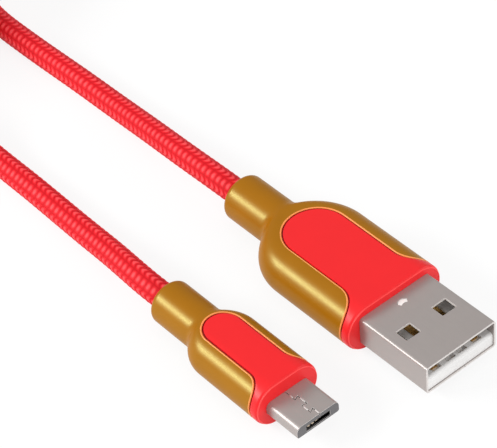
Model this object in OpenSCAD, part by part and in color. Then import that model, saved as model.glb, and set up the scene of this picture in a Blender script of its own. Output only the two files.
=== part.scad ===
// Charging cable: a rectangular A plug and a micro plug on one braided cord.
// Both plugs have a red moulded grip inside a metallic gold cover.
// X runs along the plugs towards their mouths, Z is up, and both housings lie on z = 0.
// The origin is the middle of the underside of the A plug's housing.

/* [Layout] */
// Distance between the axes of the two plugs
plug_spacing = 19.6; // [17:0.1:30]
// How far the micro plug's collar face lies ahead of the A plug's collar face
micro_advance = 1.5; // [-6:0.1:6]
// Distance from the origin to the A plug's collar face
a_face_x = 9.5; // [9:0.1:10]

/* [Cord] */
// Diameter of the braided cord
cord_d = 3.7; // [3.4:0.1:4.0]
// Diameter of the insulated wires inside the cord
wire_d = 0.8; // [0.6:0.05:0.8]
// Diameter of the bare strands at a wire's end
strand_d = 0.4; // [0.2:0.05:0.5]
// Distance of the wires' axes from the cord's axis, across and upwards
wire_spread = 0.55; // [0.52:0.01:0.6]

/* [Coil] */
// Radius of the innermost turn, at the middle of the cord
coil_inner_r = 16.8; // [15.5:0.1:20]
// Free gap between neighbouring turns
coil_gap = 0.45; // [0.4:0.05:1]
// Turns in the whole coil
coil_turns = 6.66; // [6.55:0.01:6.75]
// Layers that the coil is piled in
coil_layers = 4; // [2, 4]

/* [A plug: metal shell] */
// Width of the shell, outside
a_shell_w = 12; // [11.6:0.1:12.4]
// Height of the shell, outside
a_shell_h = 4.5; // [4.3:0.1:4.7]
// Length of the shell that stands out of the collar
a_shell_out = 12.1; // [11.8:0.1:13]
// Length of the shell from end to end
a_shell_l = 18.7; // [17.8:0.1:19.6]
// Thickness of the shell's sheet
a_sheet = 0.3; // [0.25:0.05:0.4]
// Corner radius of the shell, outside
a_shell_r = 0.45; // [0.35:0.05:0.7]
// Width of each latch window
window_w = 2.4; // [2:0.1:2.6]
// Length of each latch window
window_l = 2.1; // [1.8:0.1:2.4]
// Distance of each window's middle from the shell's middle line
window_y = 3.1; // [2.8:0.1:3.4]
// Distance from the mouth to the windows
window_x = 5.2; // [4.9:0.1:5.6]
// Radius of the half-moon that locks the insulator
moon_r = 0.9; // [0.6:0.1:1.1]
// Distance from the mouth to the half-moon
moon_x = 10.2; // [9.9:0.1:10.5]
// Width of the seam under the shell, where the sheet's ends meet
a_seam_w = 0.08; // [0.05:0.01:0.12]
// Distance of the seam's runs from the middle line
a_seam_y = 0.6; // [0.4:0.05:0.8]

/* [A plug: insulator and contacts] */
// Height of the tongue above the sheet under it
tongue_h = 1.95; // [1.7:0.05:2.1]
// Depth of the mouth, up to the insulator's block
mouth_depth = 9.1; // [8.8:0.1:9.4]
// Width of a contact
contact_w = 1; // [0.8:0.05:1.1]
// Thickness of a contact
contact_t = 0.25; // [0.2:0.05:0.3]
// Free width on each side of a contact in its groove
groove_side = 0.25; // [0.15:0.05:0.3]
// Distance of the outer contacts' tips from the mouth
power_tip = 1.2; // [0.9:0.1:1.5]
// Distance of the inner contacts' tips from the mouth
data_tip = 2.2; // [1.8:0.1:2.8]
// Distance of the outer contacts from the middle line
power_y = 3.5; // [3.4:0.05:3.6]
// Distance of the inner contacts from the middle line
data_y = 1; // [0.9:0.05:1.1]
// Distance from the mouth to the tongue's front
tongue_set = 0.2; // [0.1:0.05:0.4]
// Radius of the upper edge at the tongue's front
tongue_r = 0.5; // [0.3:0.05:0.6]
// Distance from the mouth to the front ends of the contacts' grooves
groove_set = 0.7; // [0.6:0.05:0.8]
// Distance from the shell's rear end to the insulator
a_block_set = 1; // [0.6:0.1:1.4]
// Length of the contacts' tails behind the shell
a_tail_l = 2.4; // [2.2:0.1:2.6]

/* [A plug: housing] */
// Width of the housing
a_body_w = 16.3; // [15.8:0.1:17.4]
// Height of the housing
a_body_h = 7.2; // [7:0.1:8]
// Length from the collar's face to where the shoulders begin
a_straight_l = 14.4; // [13:0.1:15.5]
// Radius of the shoulders in plan
a_shoulder_r = 7.5; // [6:0.1:8]
// Diameter of the sleeve
a_sleeve_d = 6.8; // [6.6:0.1:7]
// Length of the housing with its sleeve
a_total_l = 30.2; // [28:0.1:34]
// Width of the red inlay
a_inlay_w = 8.9; // [7.6:0.1:9.8]
// Length of the inlay, from the collar's face to its rear tip
a_inlay_l = 19; // [16:0.1:19.4]

/* [Micro plug: metal shell] */
// Width of the shell, outside
m_shell_w = 6.85; // [6.7:0.05:7]
// Height of the shell, outside
m_shell_h = 1.8; // [1.7:0.05:1.9]
// Length of the shell that stands out of the collar
m_shell_out = 5.7; // [5.4:0.1:6.2]
// Length of the shell from end to end
m_shell_l = 9.9; // [9.4:0.1:10.6]
// Thickness of the shell's sheet
m_sheet = 0.25; // [0.2:0.05:0.3]
// Width that each rounded upper edge takes
m_bevel_w = 0.75; // [0.5:0.05:0.9]
// Height that each rounded upper edge takes
m_bevel_h = 0.85; // [0.6:0.05:1]
// Width of the mouth
m_mouth_w = 3.8; // [3.5:0.1:4]
// Height of the mouth
m_mouth_h = 0.75; // [0.65:0.05:0.8]
// Width of the zigzag seam where the sheet's ends meet
seam_w = 0.08; // [0.05:0.01:0.12]
// Distance of the seam's runs from the middle line
seam_y = 0.33; // [0.25:0.01:0.4]
// Radius of the shell's lower edges, outside
m_edge_r = 0.3; // [0.26:0.01:0.35]
// Height of the insulator's floor in the mouth
mouth_rise = 0.05; // [0.03:0.01:0.07]
// How far the insulator stands out of the shell's rear end
m_insulator_out = 0.6; // [0.4:0.1:0.8]

/* [Micro plug: latches and contacts] */
// Distance of each latch from the middle line
latch_y = 2.55; // [2.5:0.05:2.6]
// Width of a latch
latch_w = 0.7; // [0.5:0.05:0.75]
// Thickness of a latch's spring arm
latch_t = 0.2; // [0.15:0.01:0.22]
// How far a hook stands out of the shell
hook_out = 0.4; // [0.3:0.05:0.45]
// Distance from the mouth to a hook's tip
hook_x = 1.5; // [1.2:0.1:1.8]
// Length of a hook
hook_l = 1.4; // [1.2:0.1:1.6]
// Length of a hook's flat nose
hook_flat = 0.35; // [0.25:0.05:0.45]
// Distance from the mouth to the end of a latch's arm
latch_set = 1; // [0.8:0.1:1.1]
// Free height above a latch's arm
latch_room = 0.6; // [0.55:0.05:0.7]
// Distance between neighbouring contacts
pin_pitch = 0.65; // [0.6:0.01:0.68]
// Width of a contact
pin_w = 0.36; // [0.3:0.01:0.4]
// Thickness of a contact
pin_t = 0.15; // [0.12:0.01:0.18]
// Free height under the contact springs
pin_gap = 0.15; // [0.13:0.01:0.17]
// Distance from the mouth to the contact springs' tips
spring_set = 0.9; // [0.8:0.1:1.2]
// Distance from a spring's tip to its contact bump
bump_set = 0.5; // [0.3:0.1:0.8]
// Radius of a contact bump
bump_r = 0.08; // [0.05:0.01:0.1]
// Length of the contacts' tails behind the insulator
m_tail_l = 1.9; // [1.7:0.1:2.1]

/* [Micro plug: housing] */
// Width of the housing
m_body_w = 10.2; // [9.8:0.1:11]
// Height of the housing
m_body_h = 6.6; // [6.4:0.1:7]
// Length from the collar's face to where the shoulders begin
m_straight_l = 11.6; // [10.6:0.1:12.4]
// Radius of the shoulders in plan
m_shoulder_r = 4.6; // [3.6:0.1:5]
// Diameter of the sleeve
m_sleeve_d = 6.3; // [6.1:0.1:6.4]
// Length of the housing with its sleeve
m_total_l = 23.5; // [22:0.1:26]
// Width of the red inlay
m_inlay_w = 5.1; // [4.4:0.1:5.6]
// Length of the inlay, from the collar's face to its rear tip
m_inlay_l = 14.4; // [12.8:0.1:14.6]

/* [Both housings] */
// Wall of the gold cover
cover_wall = 0.7; // [0.5:0.05:0.8]
// Length of the red collar in front of the cover
collar_l = 1.15; // [0.8:0.05:2]
// Edge radius of the collar's face
collar_r = 0.6; // [0.3:0.05:0.8]
// Radius of the hollow between shoulder and sleeve
neck_r = 1.9; // [1:0.1:2.5]
// Edge radius at the sleeve's end
sleeve_r = 0.8; // [0.3:0.05:0.85]
// Groove between the gold cover and the red inlay
inlay_gap = 0.12; // [0.05:0.01:0.25]
// How far the red grip's tail stays inside the sleeve
tail_inset = 0.6; // [0.2:0.1:2]

/* [Inner moulds and wiring] */
// Length of the A plug's inner mould behind its shell
a_mould_l = 9.2; // [9:0.1:9.8]
// Width of the A mould's rear face
a_nose_w = 6.4; // [5.8:0.1:7]
// Length of the micro plug's inner mould behind its shell
m_mould_l = 6.6; // [6.4:0.1:7]
// Width of the micro mould's rear face
m_nose_w = 5.2; // [4.8:0.1:5.6]
// How far the micro mould reaches over its shell
m_mould_lap = 1.8; // [1.4:0.1:2.2]
// Wall of the micro mould beside its shell
m_mould_side = 0.3; // [0.2:0.05:0.4]
// Wall of the micro mould above and below its shell
m_mould_top = 0.6; // [0.5:0.05:0.7]
// Length of the bare strands on an A contact's tail
a_bare_l = 1.8; // [1.5:0.1:2]
// Length of the bare strands on a micro contact's tail
m_bare_l = 1.3; // [1.1:0.1:1.5]
// Length of a solder mound in the A plug
a_mound_l = 1.8; // [1.5:0.1:2]
// Radius of a solder mound in the A plug
a_mound_r = 0.62; // [0.55:0.01:0.7]
// Length of a solder mound in the micro plug
m_mound_l = 1.4; // [1.2:0.1:1.5]
// Radius of a solder mound in the micro plug
m_mound_r = 0.42; // [0.38:0.01:0.45]
// Free space round the solder in its chamber
room = 0.2; // [0.1:0.05:0.3]
// Wall of the crimp ring on the cord's jacket
crimp_wall = 0.4; // [0.25:0.05:0.6]
// Length of the crimp ring
crimp_l = 2.6; // [1.5:0.1:3]

/* [Fits] */
// Clearance between pieces that are moulded or pressed together
snug = 0.02; // [0.01:0.01:0.04]
// Clearance round the moving springs
spring_gap = 0.1; // [0.05:0.01:0.12]

/* [Hidden] */

round_steps = 12; // steps in the half circle of a housing's side
bend_steps = 7; // steps along a shoulder
edge_steps = 4; // steps round a small edge
far = 40; // longer than any plug, for cuts that run right through
cut = 1; // how far a cut starts outside the piece
crimp_back = 0.5; // from a mould's rear face to the crimp ring
wire_back = 0.1; // from a contact's tail to the wire's insulation
least_flat = 0.02; // kept between a section's round sides, so that no two points meet

gold = [0.75, 0.55, 0.12];
red = [0.93, 0.17, 0.18];
steel = [0.72, 0.71, 0.7];
contact_gold = [0.8, 0.6, 0.25];
mould_white = [0.93, 0.93, 0.9];

// Fields of a housing
HALF_W = 0;
HALF_H = 1;
STRAIGHT = 2;
SHOULDER = 3;
SLEEVE = 4;
TOTAL = 5;
INLAY_W = 6;
INLAY_L = 7;
a_housing = [a_body_w / 2, a_body_h / 2, a_straight_l, a_shoulder_r,
    a_sleeve_d / 2, a_total_l, a_inlay_w / 2, a_inlay_l];
m_housing = [m_body_w / 2, m_body_h / 2, m_straight_l, m_shoulder_r,
    m_sleeve_d / 2, m_total_l, m_inlay_w / 2, m_inlay_l];

// Where each plug's collar face stands, on its own axis
a_place = [a_face_x, 0, a_body_h / 2];
m_place = [a_place.x + micro_advance, -plug_spacing, m_body_h / 2];

// Inner places, measured from the collar's face
a_rear = a_shell_out - a_shell_l; // rear end of the A shell
a_mould_rear = a_rear - a_mould_l;
a_tail_end = a_rear - a_tail_l;
a_contact_y = [power_y, data_y, -data_y, -power_y];
tongue_top = tongue_h + a_sheet - a_shell_h / 2;
m_rear = m_shell_out - m_shell_l; // rear end of the micro shell
m_mould_rear = m_rear - m_mould_l;
m_mould_front = m_rear + m_mould_lap;
m_insulator_rear = m_rear - m_insulator_out;
m_tail_end = m_insulator_rear - m_tail_l;
m_inside = m_shell_h / 2 - m_sheet; // half the height inside the micro shell
mouth_floor = -m_inside + mouth_rise;
pin_z = mouth_floor + pin_gap; // underside of the contact springs
spring_root = -0.4; // where the contact springs bend
spring_tip = m_shell_out - spring_set;
latch_root = m_rear + 0.2; // where the latches bend
latch_tip = m_shell_out - latch_set;
latch_z = -m_inside + spring_gap; // underside of the latches' arms
wire_spots = [[wire_spread, wire_spread], [wire_spread, -wire_spread],
    [-wire_spread, -wire_spread], [-wire_spread, wire_spread]];
wire_colours = ["firebrick", "white", "seagreen", "black"];

// ---------- sweeps and lofts ----------

// Joins rings of points, all with the same count, into one closed solid.
module loft(rings) {
    n = len(rings[0]);
    m = len(rings);
    sides = [for (j = [0 : m - 2], i = [0 : n - 1]) each [
        [j * n + i, j * n + (i + 1) % n, (j + 1) * n + (i + 1) % n],
        [j * n + i, (j + 1) * n + (i + 1) % n, (j + 1) * n + i]
    ]];
    ends = [[for (i = [n - 1 : -1 : 0]) i], [for (i = [0 : n - 1]) (m - 1) * n + i]];
    polyhedron(points = [for (r = rings) each r], faces = concat(ends, sides), convexity = 8);
}

function unit(v) = v / norm(v);

// Direction of a route at point i, square to its ends
function heading(route, i) = unit(
    route[min(i + 1, len(route) - 1)] - route[max(i - 1, 0)]);

// Ring of a round tube at point i; no route here runs upright
function tube_ring(route, i, r, sides) =
    let (t = heading(route, i), s = unit(cross(t, [0, 0, 1])), u = cross(s, t))
    [for (k = [0 : sides - 1]) let (a = 360 * (k + 0.5) / sides)
        route[i] + r * cos(a) * s + r * sin(a) * u];

module tube(route, d, sides) {
    loft([for (i = [0 : len(route) - 1]) tube_ring(route, i, d / 2, sides)]);
}

function route_length(route) = let (steps = [for (i = [1 : len(route) - 1])
    norm(route[i] - route[i - 1])]) steps * [for (s = steps) 1];

// ---------- housings ----------

// Angle that a shoulder turns through before it meets the hollow of the neck
function neck_angle(h) = acos(1 - (h[HALF_W] - h[SLEEVE]) / (h[SHOULDER] + neck_r));
function neck_x(h) = h[STRAIGHT] + (h[SHOULDER] + neck_r) * sin(neck_angle(h));

// Half the width of a housing in plan, along the shoulder and the neck
function shoulder_w(h, a) = h[HALF_W] - h[SHOULDER] * (1 - cos(a));
function hollow_w(h, a) = h[SLEEVE] + neck_r * (1 - cos(a));

// Ring of a housing at x: round sides of radius r, with the sides' centres at y = w - r
function body_ring(x, w, r) = let (c = max(w - r, least_flat)) concat(
    [for (i = [0 : round_steps]) let (a = -90 + 180 * i / round_steps)
        [x, c + r * cos(a), r * sin(a)]],
    [for (i = [0 : round_steps]) let (a = 90 + 180 * i / round_steps)
        [x, -c + r * cos(a), r * sin(a)]]);

// Rings from the front at x = -front to the sleeve, inset all round
function body_rings(h, inset, front) = let (n = neck_angle(h), drop = h[HALF_H] - h[SLEEVE])
    concat(
        [body_ring(-front, h[HALF_W] - inset, h[HALF_H] - inset)],
        [for (i = [0 : bend_steps]) let (a = n * i / bend_steps)
            body_ring(-h[STRAIGHT] - h[SHOULDER] * sin(a), shoulder_w(h, a) - inset,
                h[HALF_H] - inset)],
        [for (i = [1 : edge_steps]) let (a = n * (1 - i / edge_steps))
            body_ring(-neck_x(h) + neck_r * sin(a), hollow_w(h, a) - inset,
                h[HALF_H] - inset - drop * i / edge_steps)]);

// Outline in plan of the red that shows: collar, inlay and the round corners between
function red_outline(h, grow) = let (
        corner = h[HALF_W] - h[INLAY_W],
        rear = h[INLAY_L] - h[INLAY_W],
        side = concat(
            [[cut, h[HALF_W] + cut], [-collar_l - grow, h[HALF_W] + cut]],
            [for (a = [0 : -15 : -90])
                [-collar_l - corner + (corner - grow) * cos(a),
                    h[HALF_W] + (corner - grow) * sin(a)]],
            [for (a = [0 : 10 : 80])
                [-rear - (h[INLAY_W] + grow) * sin(a), (h[INLAY_W] + grow) * cos(a)]]),
        tip = [[-h[INLAY_L] - grow, 0]])
    concat(side, tip, [for (i = [len(side) - 1 : -1 : 0]) [side[i].x, -side[i].y]]);

module red_prism(h, grow) {
    linear_extrude(2 * h[HALF_H] + 2 * cut, center = true)
        polygon(red_outline(h, grow));
}

// Gold cover: one shell of even wall, open to the front round the red inlays
module cover(h) {
    front = collar_l + inlay_gap;
    difference() {
        loft(concat(
            body_rings(h, 0, front),
            [for (i = [0 : edge_steps]) let (a = 90 * i / edge_steps)
                body_ring(-h[TOTAL] + sleeve_r * (1 - sin(a)),
                    h[SLEEVE] - sleeve_r * (1 - cos(a)), h[SLEEVE] - sleeve_r * (1 - cos(a)))]));
        loft(concat(
            body_rings(h, cover_wall, front - cut),
            [body_ring(-h[TOTAL] - cut, h[SLEEVE] - cover_wall, h[SLEEVE] - cover_wall)]));
        red_prism(h, inlay_gap);
    }
}

// Red grip: a core inside the cover, with the collar and both inlays standing out to its skin
module grip(h) {
    core = cover_wall + snug;
    intersection() {
        loft(concat(
            [for (i = [0 : edge_steps - 1]) let (a = 90 * i / edge_steps)
                body_ring(-collar_r * (1 - cos(a)),
                    h[HALF_W] - collar_r * (1 - sin(a)), h[HALF_H] - collar_r * (1 - sin(a)))],
            body_rings(h, 0, collar_r)));
        red_prism(h, 0);
    }
    loft(concat(
        body_rings(h, core, collar_l / 2),
        [body_ring(-h[TOTAL] + tail_inset, h[SLEEVE] - core, h[SLEEVE] - core)]));
}

// Cord end inside a plug, from the mould's rear face to the sleeve's end
module jacket_end(h, front) {
    translate([-h[TOTAL], 0, 0])
        rotate([0, 90, 0])
            cylinder(d = cord_d, h = h[TOTAL] + front, $fn = 48);
}

module crimp(front) {
    translate([front - crimp_l - crimp_back, 0, 0])
        rotate([0, 90, 0])
            difference() {
                cylinder(d = cord_d + 2 * snug + 2 * crimp_wall, h = crimp_l, $fn = 48);
                translate([0, 0, -cut])
                    cylinder(d = cord_d + 2 * snug, h = crimp_l + 2 * cut, $fn = 48);
            }
}

// One wire: bare strands in the solder, then insulation up to the jacket's face. Grown, it
// is the room for the wire, and runs out through the mould's rear face.
module wire(bare, route, grow = 0) {
    end = route[len(route) - 1];
    tube(concat(route, grow > 0 ? [end - [cut, 0, 0]] : []), wire_d + 2 * grow, 8);
    translate(route[0] - [strand_d / 2, 0, 0])
        rotate([0, 90, 0])
            cylinder(d = strand_d + 2 * grow, h = bare + strand_d / 2, $fn = 24);
}

// Solder mound round the strands, cut flat where it sits on a tail above or below it
module mound(x, y, z, l, r, up) {
    flat = strand_d / 2;
    bore = strand_d / 2 + snug;
    chamfer = (r - bore) / 2;
    translate([x, y, z])
        intersection() {
            rotate([0, 90, 0])
                rotate_extrude($fn = 32)
                    polygon([[bore, -l / 2], [r - chamfer, -l / 2], [r, chamfer - l / 2],
                        [r, l / 2 - chamfer], [r - chamfer, l / 2], [bore, l / 2]]);
            translate([-l, -l, up > 0 ? -flat : -2 * l])
                cube([2 * l, 2 * l, 2 * l + (up > 0 ? 0 : flat)]);
        }
}

// Moulded block behind a shell, with chamfered rear corners
module mould_block(front, rear, w, h, nose, grow = 0) {
    side = w / 2 + grow;
    chamfer = w / 2 - nose;
    linear_extrude(h + 2 * grow, center = true)
        polygon([[front + grow, -side], [front + grow, side], [rear + chamfer, side],
            [rear - grow, nose + grow], [rear - grow, -nose - grow], [rear + chamfer, -side]]);
}

// Room inside a grip for the jacket and the crimp behind a mould
module tail_bore(rear) {
    translate([-far, 0, 0])
        rotate([0, 90, 0])
            cylinder(d = cord_d + 2 * snug, h = far + rear + cut, $fn = 48);
    translate([rear - crimp_l - crimp_back - snug, 0, 0])
        rotate([0, 90, 0])
            cylinder(d = cord_d + 4 * snug + 2 * crimp_wall, h = crimp_l + crimp_back + cut,
                $fn = 48);
}

// ---------- A plug, measured from its collar's face ----------

module box(x0, x1, w, h) {
    translate([x0, -w / 2, -h / 2])
        cube([x1 - x0, w, h]);
}

// Box along x with round corners in its cross-section
module round_box(x0, x1, w, h, r) {
    translate([x0, 0, 0])
        rotate([90, 0, 90])
            linear_extrude(x1 - x0)
                union() {
                    square([w - 2 * r, h], center = true);
                    square([w, h - 2 * r], center = true);
                    for (y = [-1, 1], z = [-1, 1])
                        translate([y * (w / 2 - r), z * (h / 2 - r)])
                            circle(r, $fn = 32);
                }
}

// Line where a sheet's two ends lock into each other, from the mouth to the rear. Steps gives,
// for each slanting run, how far from the mouth it starts and ends.
function seam_line(out, rear, y, steps) = concat(
    [[out + cut, y]],
    [for (i = [0 : len(steps) - 1]) let (side = i % 2 == 0 ? y : -y) each [
        [out - steps[i][0], side], [out - steps[i][1], -side]]],
    [[rear - cut, len(steps) % 2 == 0 ? y : -y]]);

// Slot along such a line, from the height z upwards
module seam(line, width, z, height) {
    for (i = [1 : len(line) - 1]) {
        a = line[i - 1];
        b = line[i];
        translate([a.x, a.y, z])
            rotate([0, 0, atan2(b.y - a.y, b.x - a.x)])
                translate([-width / 2, -width / 2, 0])
                    cube([norm(b - a) + width, width, height]);
    }
}

a_seam_steps = [[3.4, 2.9], [5.4, 5.9], [9.4, 8.9], [11.4, 11.9]];

module a_shell() {
    color(steel)
        translate(a_place)
            difference() {
                round_box(a_rear, a_shell_out, a_shell_w, a_shell_h, a_shell_r);
                round_box(a_rear - cut, a_shell_out + cut, a_shell_w - 2 * a_sheet,
                    a_shell_h - 2 * a_sheet, a_shell_r - a_sheet);
                for (y = [-1, 1])
                    translate([a_shell_out - window_x - window_l / 2, y * window_y, 0])
                        cube([window_l, window_w, a_shell_h + 2 * cut], center = true);
                seam(seam_line(a_shell_out, a_rear, a_seam_y, a_seam_steps), a_seam_w,
                    -a_shell_h / 2 - cut, a_sheet + 2 * cut);
                translate([a_shell_out - moon_x, 0, 0])
                    linear_extrude(a_shell_h)
                        difference() {
                            circle(moon_r, $fn = 48);
                            translate([moon_r * 0.7, 0])
                                circle(moon_r * 0.85, $fn = 48);
                            translate([moon_r / 2, -moon_r])
                                square([moon_r, 2 * moon_r]);
                        }
            }
}

// Contacts and their tails; the outer pair reaches further out than the inner pair
module a_contact_bars(grow = 0) {
    for (y = a_contact_y) {
        tip = a_shell_out - (abs(y) == power_y ? power_tip : data_tip);
        translate([a_rear - a_tail_l, y - contact_w / 2 - grow, tongue_top - contact_t - grow])
            cube([tip - a_rear + a_tail_l, contact_w + 2 * grow, contact_t + 2 * grow]);
    }
}

module a_insulator() {
    inner_w = a_shell_w - 2 * a_sheet - 2 * snug;
    inner_h = a_shell_h - 2 * a_sheet - 2 * snug;
    block_rear = a_rear + a_block_set;
    tongue_l = a_shell_l - a_block_set - tongue_set;
    groove_d = contact_t + snug;
    color("white")
        translate(a_place)
            difference() {
                union() {
                    box(block_rear, a_shell_out - mouth_depth, inner_w, inner_h);
                    // Tongue with a round upper edge at its front
                    translate([0, inner_w / 2, 0])
                        rotate([90, 0, 0])
                            linear_extrude(inner_w)
                                union() {
                                    translate([block_rear, -inner_h / 2])
                                        square([tongue_l - tongue_r, inner_h / 2 + tongue_top]);
                                    translate([block_rear, -inner_h / 2])
                                        square([tongue_l, inner_h / 2 + tongue_top - tongue_r]);
                                    translate([block_rear + tongue_l - tongue_r,
                                            tongue_top - tongue_r])
                                        circle(tongue_r, $fn = 32);
                                }
                }
                for (y = a_contact_y)
                    translate([a_shell_out - mouth_depth - snug,
                            y - contact_w / 2 - groove_side, tongue_top - groove_d])
                        cube([mouth_depth + snug - groove_set, contact_w + 2 * groove_side,
                            groove_d + cut]);
                a_contact_bars(snug);
            }
}

module a_contacts() {
    color(contact_gold)
        translate(a_place)
            a_contact_bars();
}

a_strand_z = tongue_top + strand_d / 2 + snug;

module a_solder() {
    color("silver")
        translate(a_place)
            for (y = a_contact_y)
                mound(a_rear - a_tail_l / 2 - wire_back, y, a_strand_z, a_mound_l, a_mound_r, 1);
}

// Route of a wire: straight back from its tail for lead, then over a bend, whose point lies fan
// behind the tail and share of the way to the jacket, and straight into the jacket from entry
function wire_route(tail, rear, spot, lead, fan, share, entry) = [
    tail - [wire_back, 0, 0],
    tail - [lead, 0, 0],
    [tail.x - fan, tail.y + (spot.x - tail.y) * share.x, tail.z + (spot.y - tail.z) * share.y],
    [rear + 2 * entry, spot.x, spot.y],
    [rear + entry, spot.x, spot.y],
    [rear, spot.x, spot.y]
];

module a_wire(i, grow = 0) {
    tail = [a_tail_end, a_contact_y[i], a_strand_z];
    wire(a_bare_l, wire_route(tail, a_mould_rear, wire_spots[i],
        lead = 1, fan = 2.2, share = [0.15, 0.3], entry = 0.7), grow);
}

module a_mould(grow = 0) {
    mould_block(a_rear, a_mould_rear, a_shell_w, a_shell_h, a_nose_w / 2, grow);
}

module a_inner_mould() {
    room_y = power_y + max(contact_w / 2, a_mound_r) + room;
    room_z = tongue_top - contact_t - room;
    color(mould_white)
        translate(a_place)
            difference() {
                union() {
                    a_mould();
                    // Boss that fills the shell's rear end up to the insulator
                    box(a_rear - cut, a_rear + a_block_set - snug,
                        a_shell_w - 2 * a_sheet - 2 * a_shell_r,
                        a_shell_h - 2 * a_sheet - 2 * snug);
                }
                // Chamber round the tails and the solder
                translate([a_tail_end - room, -room_y, room_z])
                    cube([a_tail_l + room + cut, 2 * room_y,
                        a_strand_z + a_mound_r + room - room_z]);
                for (i = [0 : 3])
                    a_wire(i, snug);
            }
}

module a_crimp() {
    color("silver")
        translate(a_place)
            crimp(a_mould_rear);
}

module a_jacket_end() {
    color(red)
        translate(a_place)
            jacket_end(a_housing, a_mould_rear);
}

module a_grip() {
    color(red)
        translate(a_place)
            difference() {
                grip(a_housing);
                round_box(a_rear, cut, a_shell_w + 2 * snug, a_shell_h + 2 * snug, a_shell_r);
                a_mould(snug);
                tail_bore(a_mould_rear);
            }
}

module a_cover() {
    color(gold)
        translate(a_place)
            cover(a_housing);
}

// ---------- micro plug, measured from its collar's face ----------

// Cross-section of the shell: small round lower edges, wide round upper edges
function m_profile(inset) = let (
        w = m_shell_w / 2 - inset,
        h = m_shell_h / 2,
        r = m_edge_r,
        side = concat(
            [for (a = [-90 : 15 : 0]) [w - r + r * cos(a), -h + inset + r + r * sin(a)]],
            [for (a = [0 : 10 : 90]) [m_shell_w / 2 - m_bevel_w + (m_bevel_w - inset) * cos(a),
                h - m_bevel_h + (m_bevel_h - inset) * sin(a)]]))
    concat(side, [for (i = [len(side) - 1 : -1 : 0]) [-side[i].x, side[i].y]]);

module m_bar(x0, x1, inset) {
    translate([x0, 0, 0])
        rotate([90, 0, 90])
            linear_extrude(x1 - x0)
                polygon(m_profile(inset));
}

module m_mouth(x0, x1) {
    translate([x0, -m_mouth_w / 2, mouth_floor])
        cube([x1 - x0, m_mouth_w, m_mouth_h]);
}

m_seam_steps = [[1.3, 1], [2.55, 2.4], [4.1, 3.8]];

hook_front = m_shell_out - hook_x;
hook_rear = hook_front - hook_l;

module micro_shell() {
    color(steel)
        translate(m_place)
            difference() {
                m_bar(m_rear, m_shell_out, 0);
                m_bar(m_rear - cut, m_shell_out - m_sheet, m_sheet);
                m_mouth(m_shell_out - 2 * m_sheet, m_shell_out + cut);
                seam(seam_line(m_shell_out, m_rear, seam_y, m_seam_steps), seam_w,
                    m_shell_h / 2 - 2 * m_sheet, 2 * m_sheet + cut);
                for (side = [-1, 1])
                    translate([hook_rear - spring_gap, side * latch_y - latch_w / 2 - spring_gap,
                            -m_shell_h])
                        cube([hook_l + 2 * spring_gap, latch_w + 2 * spring_gap, m_shell_h]);
            }
}

module micro_insulator() {
    color([0.2, 0.2, 0.21])
        translate(m_place)
            difference() {
                m_bar(m_insulator_rear, m_shell_out - m_sheet - snug, m_sheet + snug);
                m_mouth(spring_root - spring_gap, m_shell_out);
                m_tail_bars(snug);
                // Channels in which the latches spring
                for (side = [-1, 1])
                    translate([latch_root - spring_gap,
                            side * latch_y - latch_w / 2 - spring_gap, -m_shell_h])
                        cube([far, latch_w + 2 * spring_gap,
                            m_shell_h + latch_z + latch_t + latch_room]);
            }
}

m_pins = [2, 1, 0, -1, -2]; // pin places, in pitches from the middle line

module micro_contact_springs() {
    color(contact_gold)
        translate(m_place)
            for (p = m_pins)
                translate([0, p * pin_pitch, pin_z])
                    union() {
                        translate([spring_root, -pin_w / 2, 0])
                            cube([spring_tip - spring_root, pin_w, pin_t]);
                        translate([spring_tip - bump_set, 0, pin_t])
                            rotate([90, 0, 0])
                                cylinder(r = bump_r, h = pin_w, center = true, $fn = 24);
                    }
}

module m_tail_bars(grow = 0) {
    for (p = m_pins)
        translate([m_tail_end, p * pin_pitch - pin_w / 2 - grow, pin_z - grow])
            cube([spring_root - snug - m_tail_end + grow, pin_w + 2 * grow, pin_t + 2 * grow]);
}

module micro_tails() {
    color(contact_gold)
        translate(m_place)
            m_tail_bars();
}

hook_slant = 0.15; // how far a hook's rear edge leans

// One latch: a flat spring arm with a hook that reaches down through the shell
module latch(side) {
    drop = latch_z + m_shell_h / 2 + hook_out;
    color("silver")
        translate(m_place)
            translate([0, side * latch_y + latch_w / 2, latch_z])
                rotate([90, 0, 0])
                    linear_extrude(latch_w)
                        polygon([[latch_root, latch_t], [latch_root, 0], [hook_rear, 0],
                            [hook_rear + hook_slant, -drop],
                            [hook_rear + hook_slant + hook_flat, -drop],
                            [hook_front, 0], [latch_tip, 0], [latch_tip, latch_t]]);
}

module latch_left() {
    latch(1);
}

module latch_right() {
    latch(-1);
}

// Pins with a wire, and the side of the tail that it is soldered to; one pin stays free
m_wire_pins = [[2, 1], [1, -1], [0, 1], [-2, 1]];
function m_strand_z(up) = up > 0 ? pin_z + pin_t + strand_d / 2 + snug
    : pin_z - strand_d / 2 - snug;

module micro_solder() {
    color("silver")
        translate(m_place)
            for (p = m_wire_pins)
                mound(m_tail_end + m_tail_l / 2 - wire_back, p[0] * pin_pitch, m_strand_z(p[1]),
                    m_mound_l, m_mound_r, p[1]);
}

module m_wire(i, grow = 0) {
    pin = m_wire_pins[i];
    tail = [m_tail_end, pin[0] * pin_pitch, m_strand_z(pin[1])];
    wire(m_bare_l, wire_route(tail, m_mould_rear, wire_spots[i],
        lead = 0.7, fan = 1.8, share = [0.5, 0.5], entry = 0.6), grow);
}

module m_mould(grow = 0) {
    mould_block(m_mould_front, m_mould_rear, m_shell_w + 2 * m_mould_side,
        m_shell_h + 2 * m_mould_top, m_nose_w / 2, grow);
}

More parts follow.
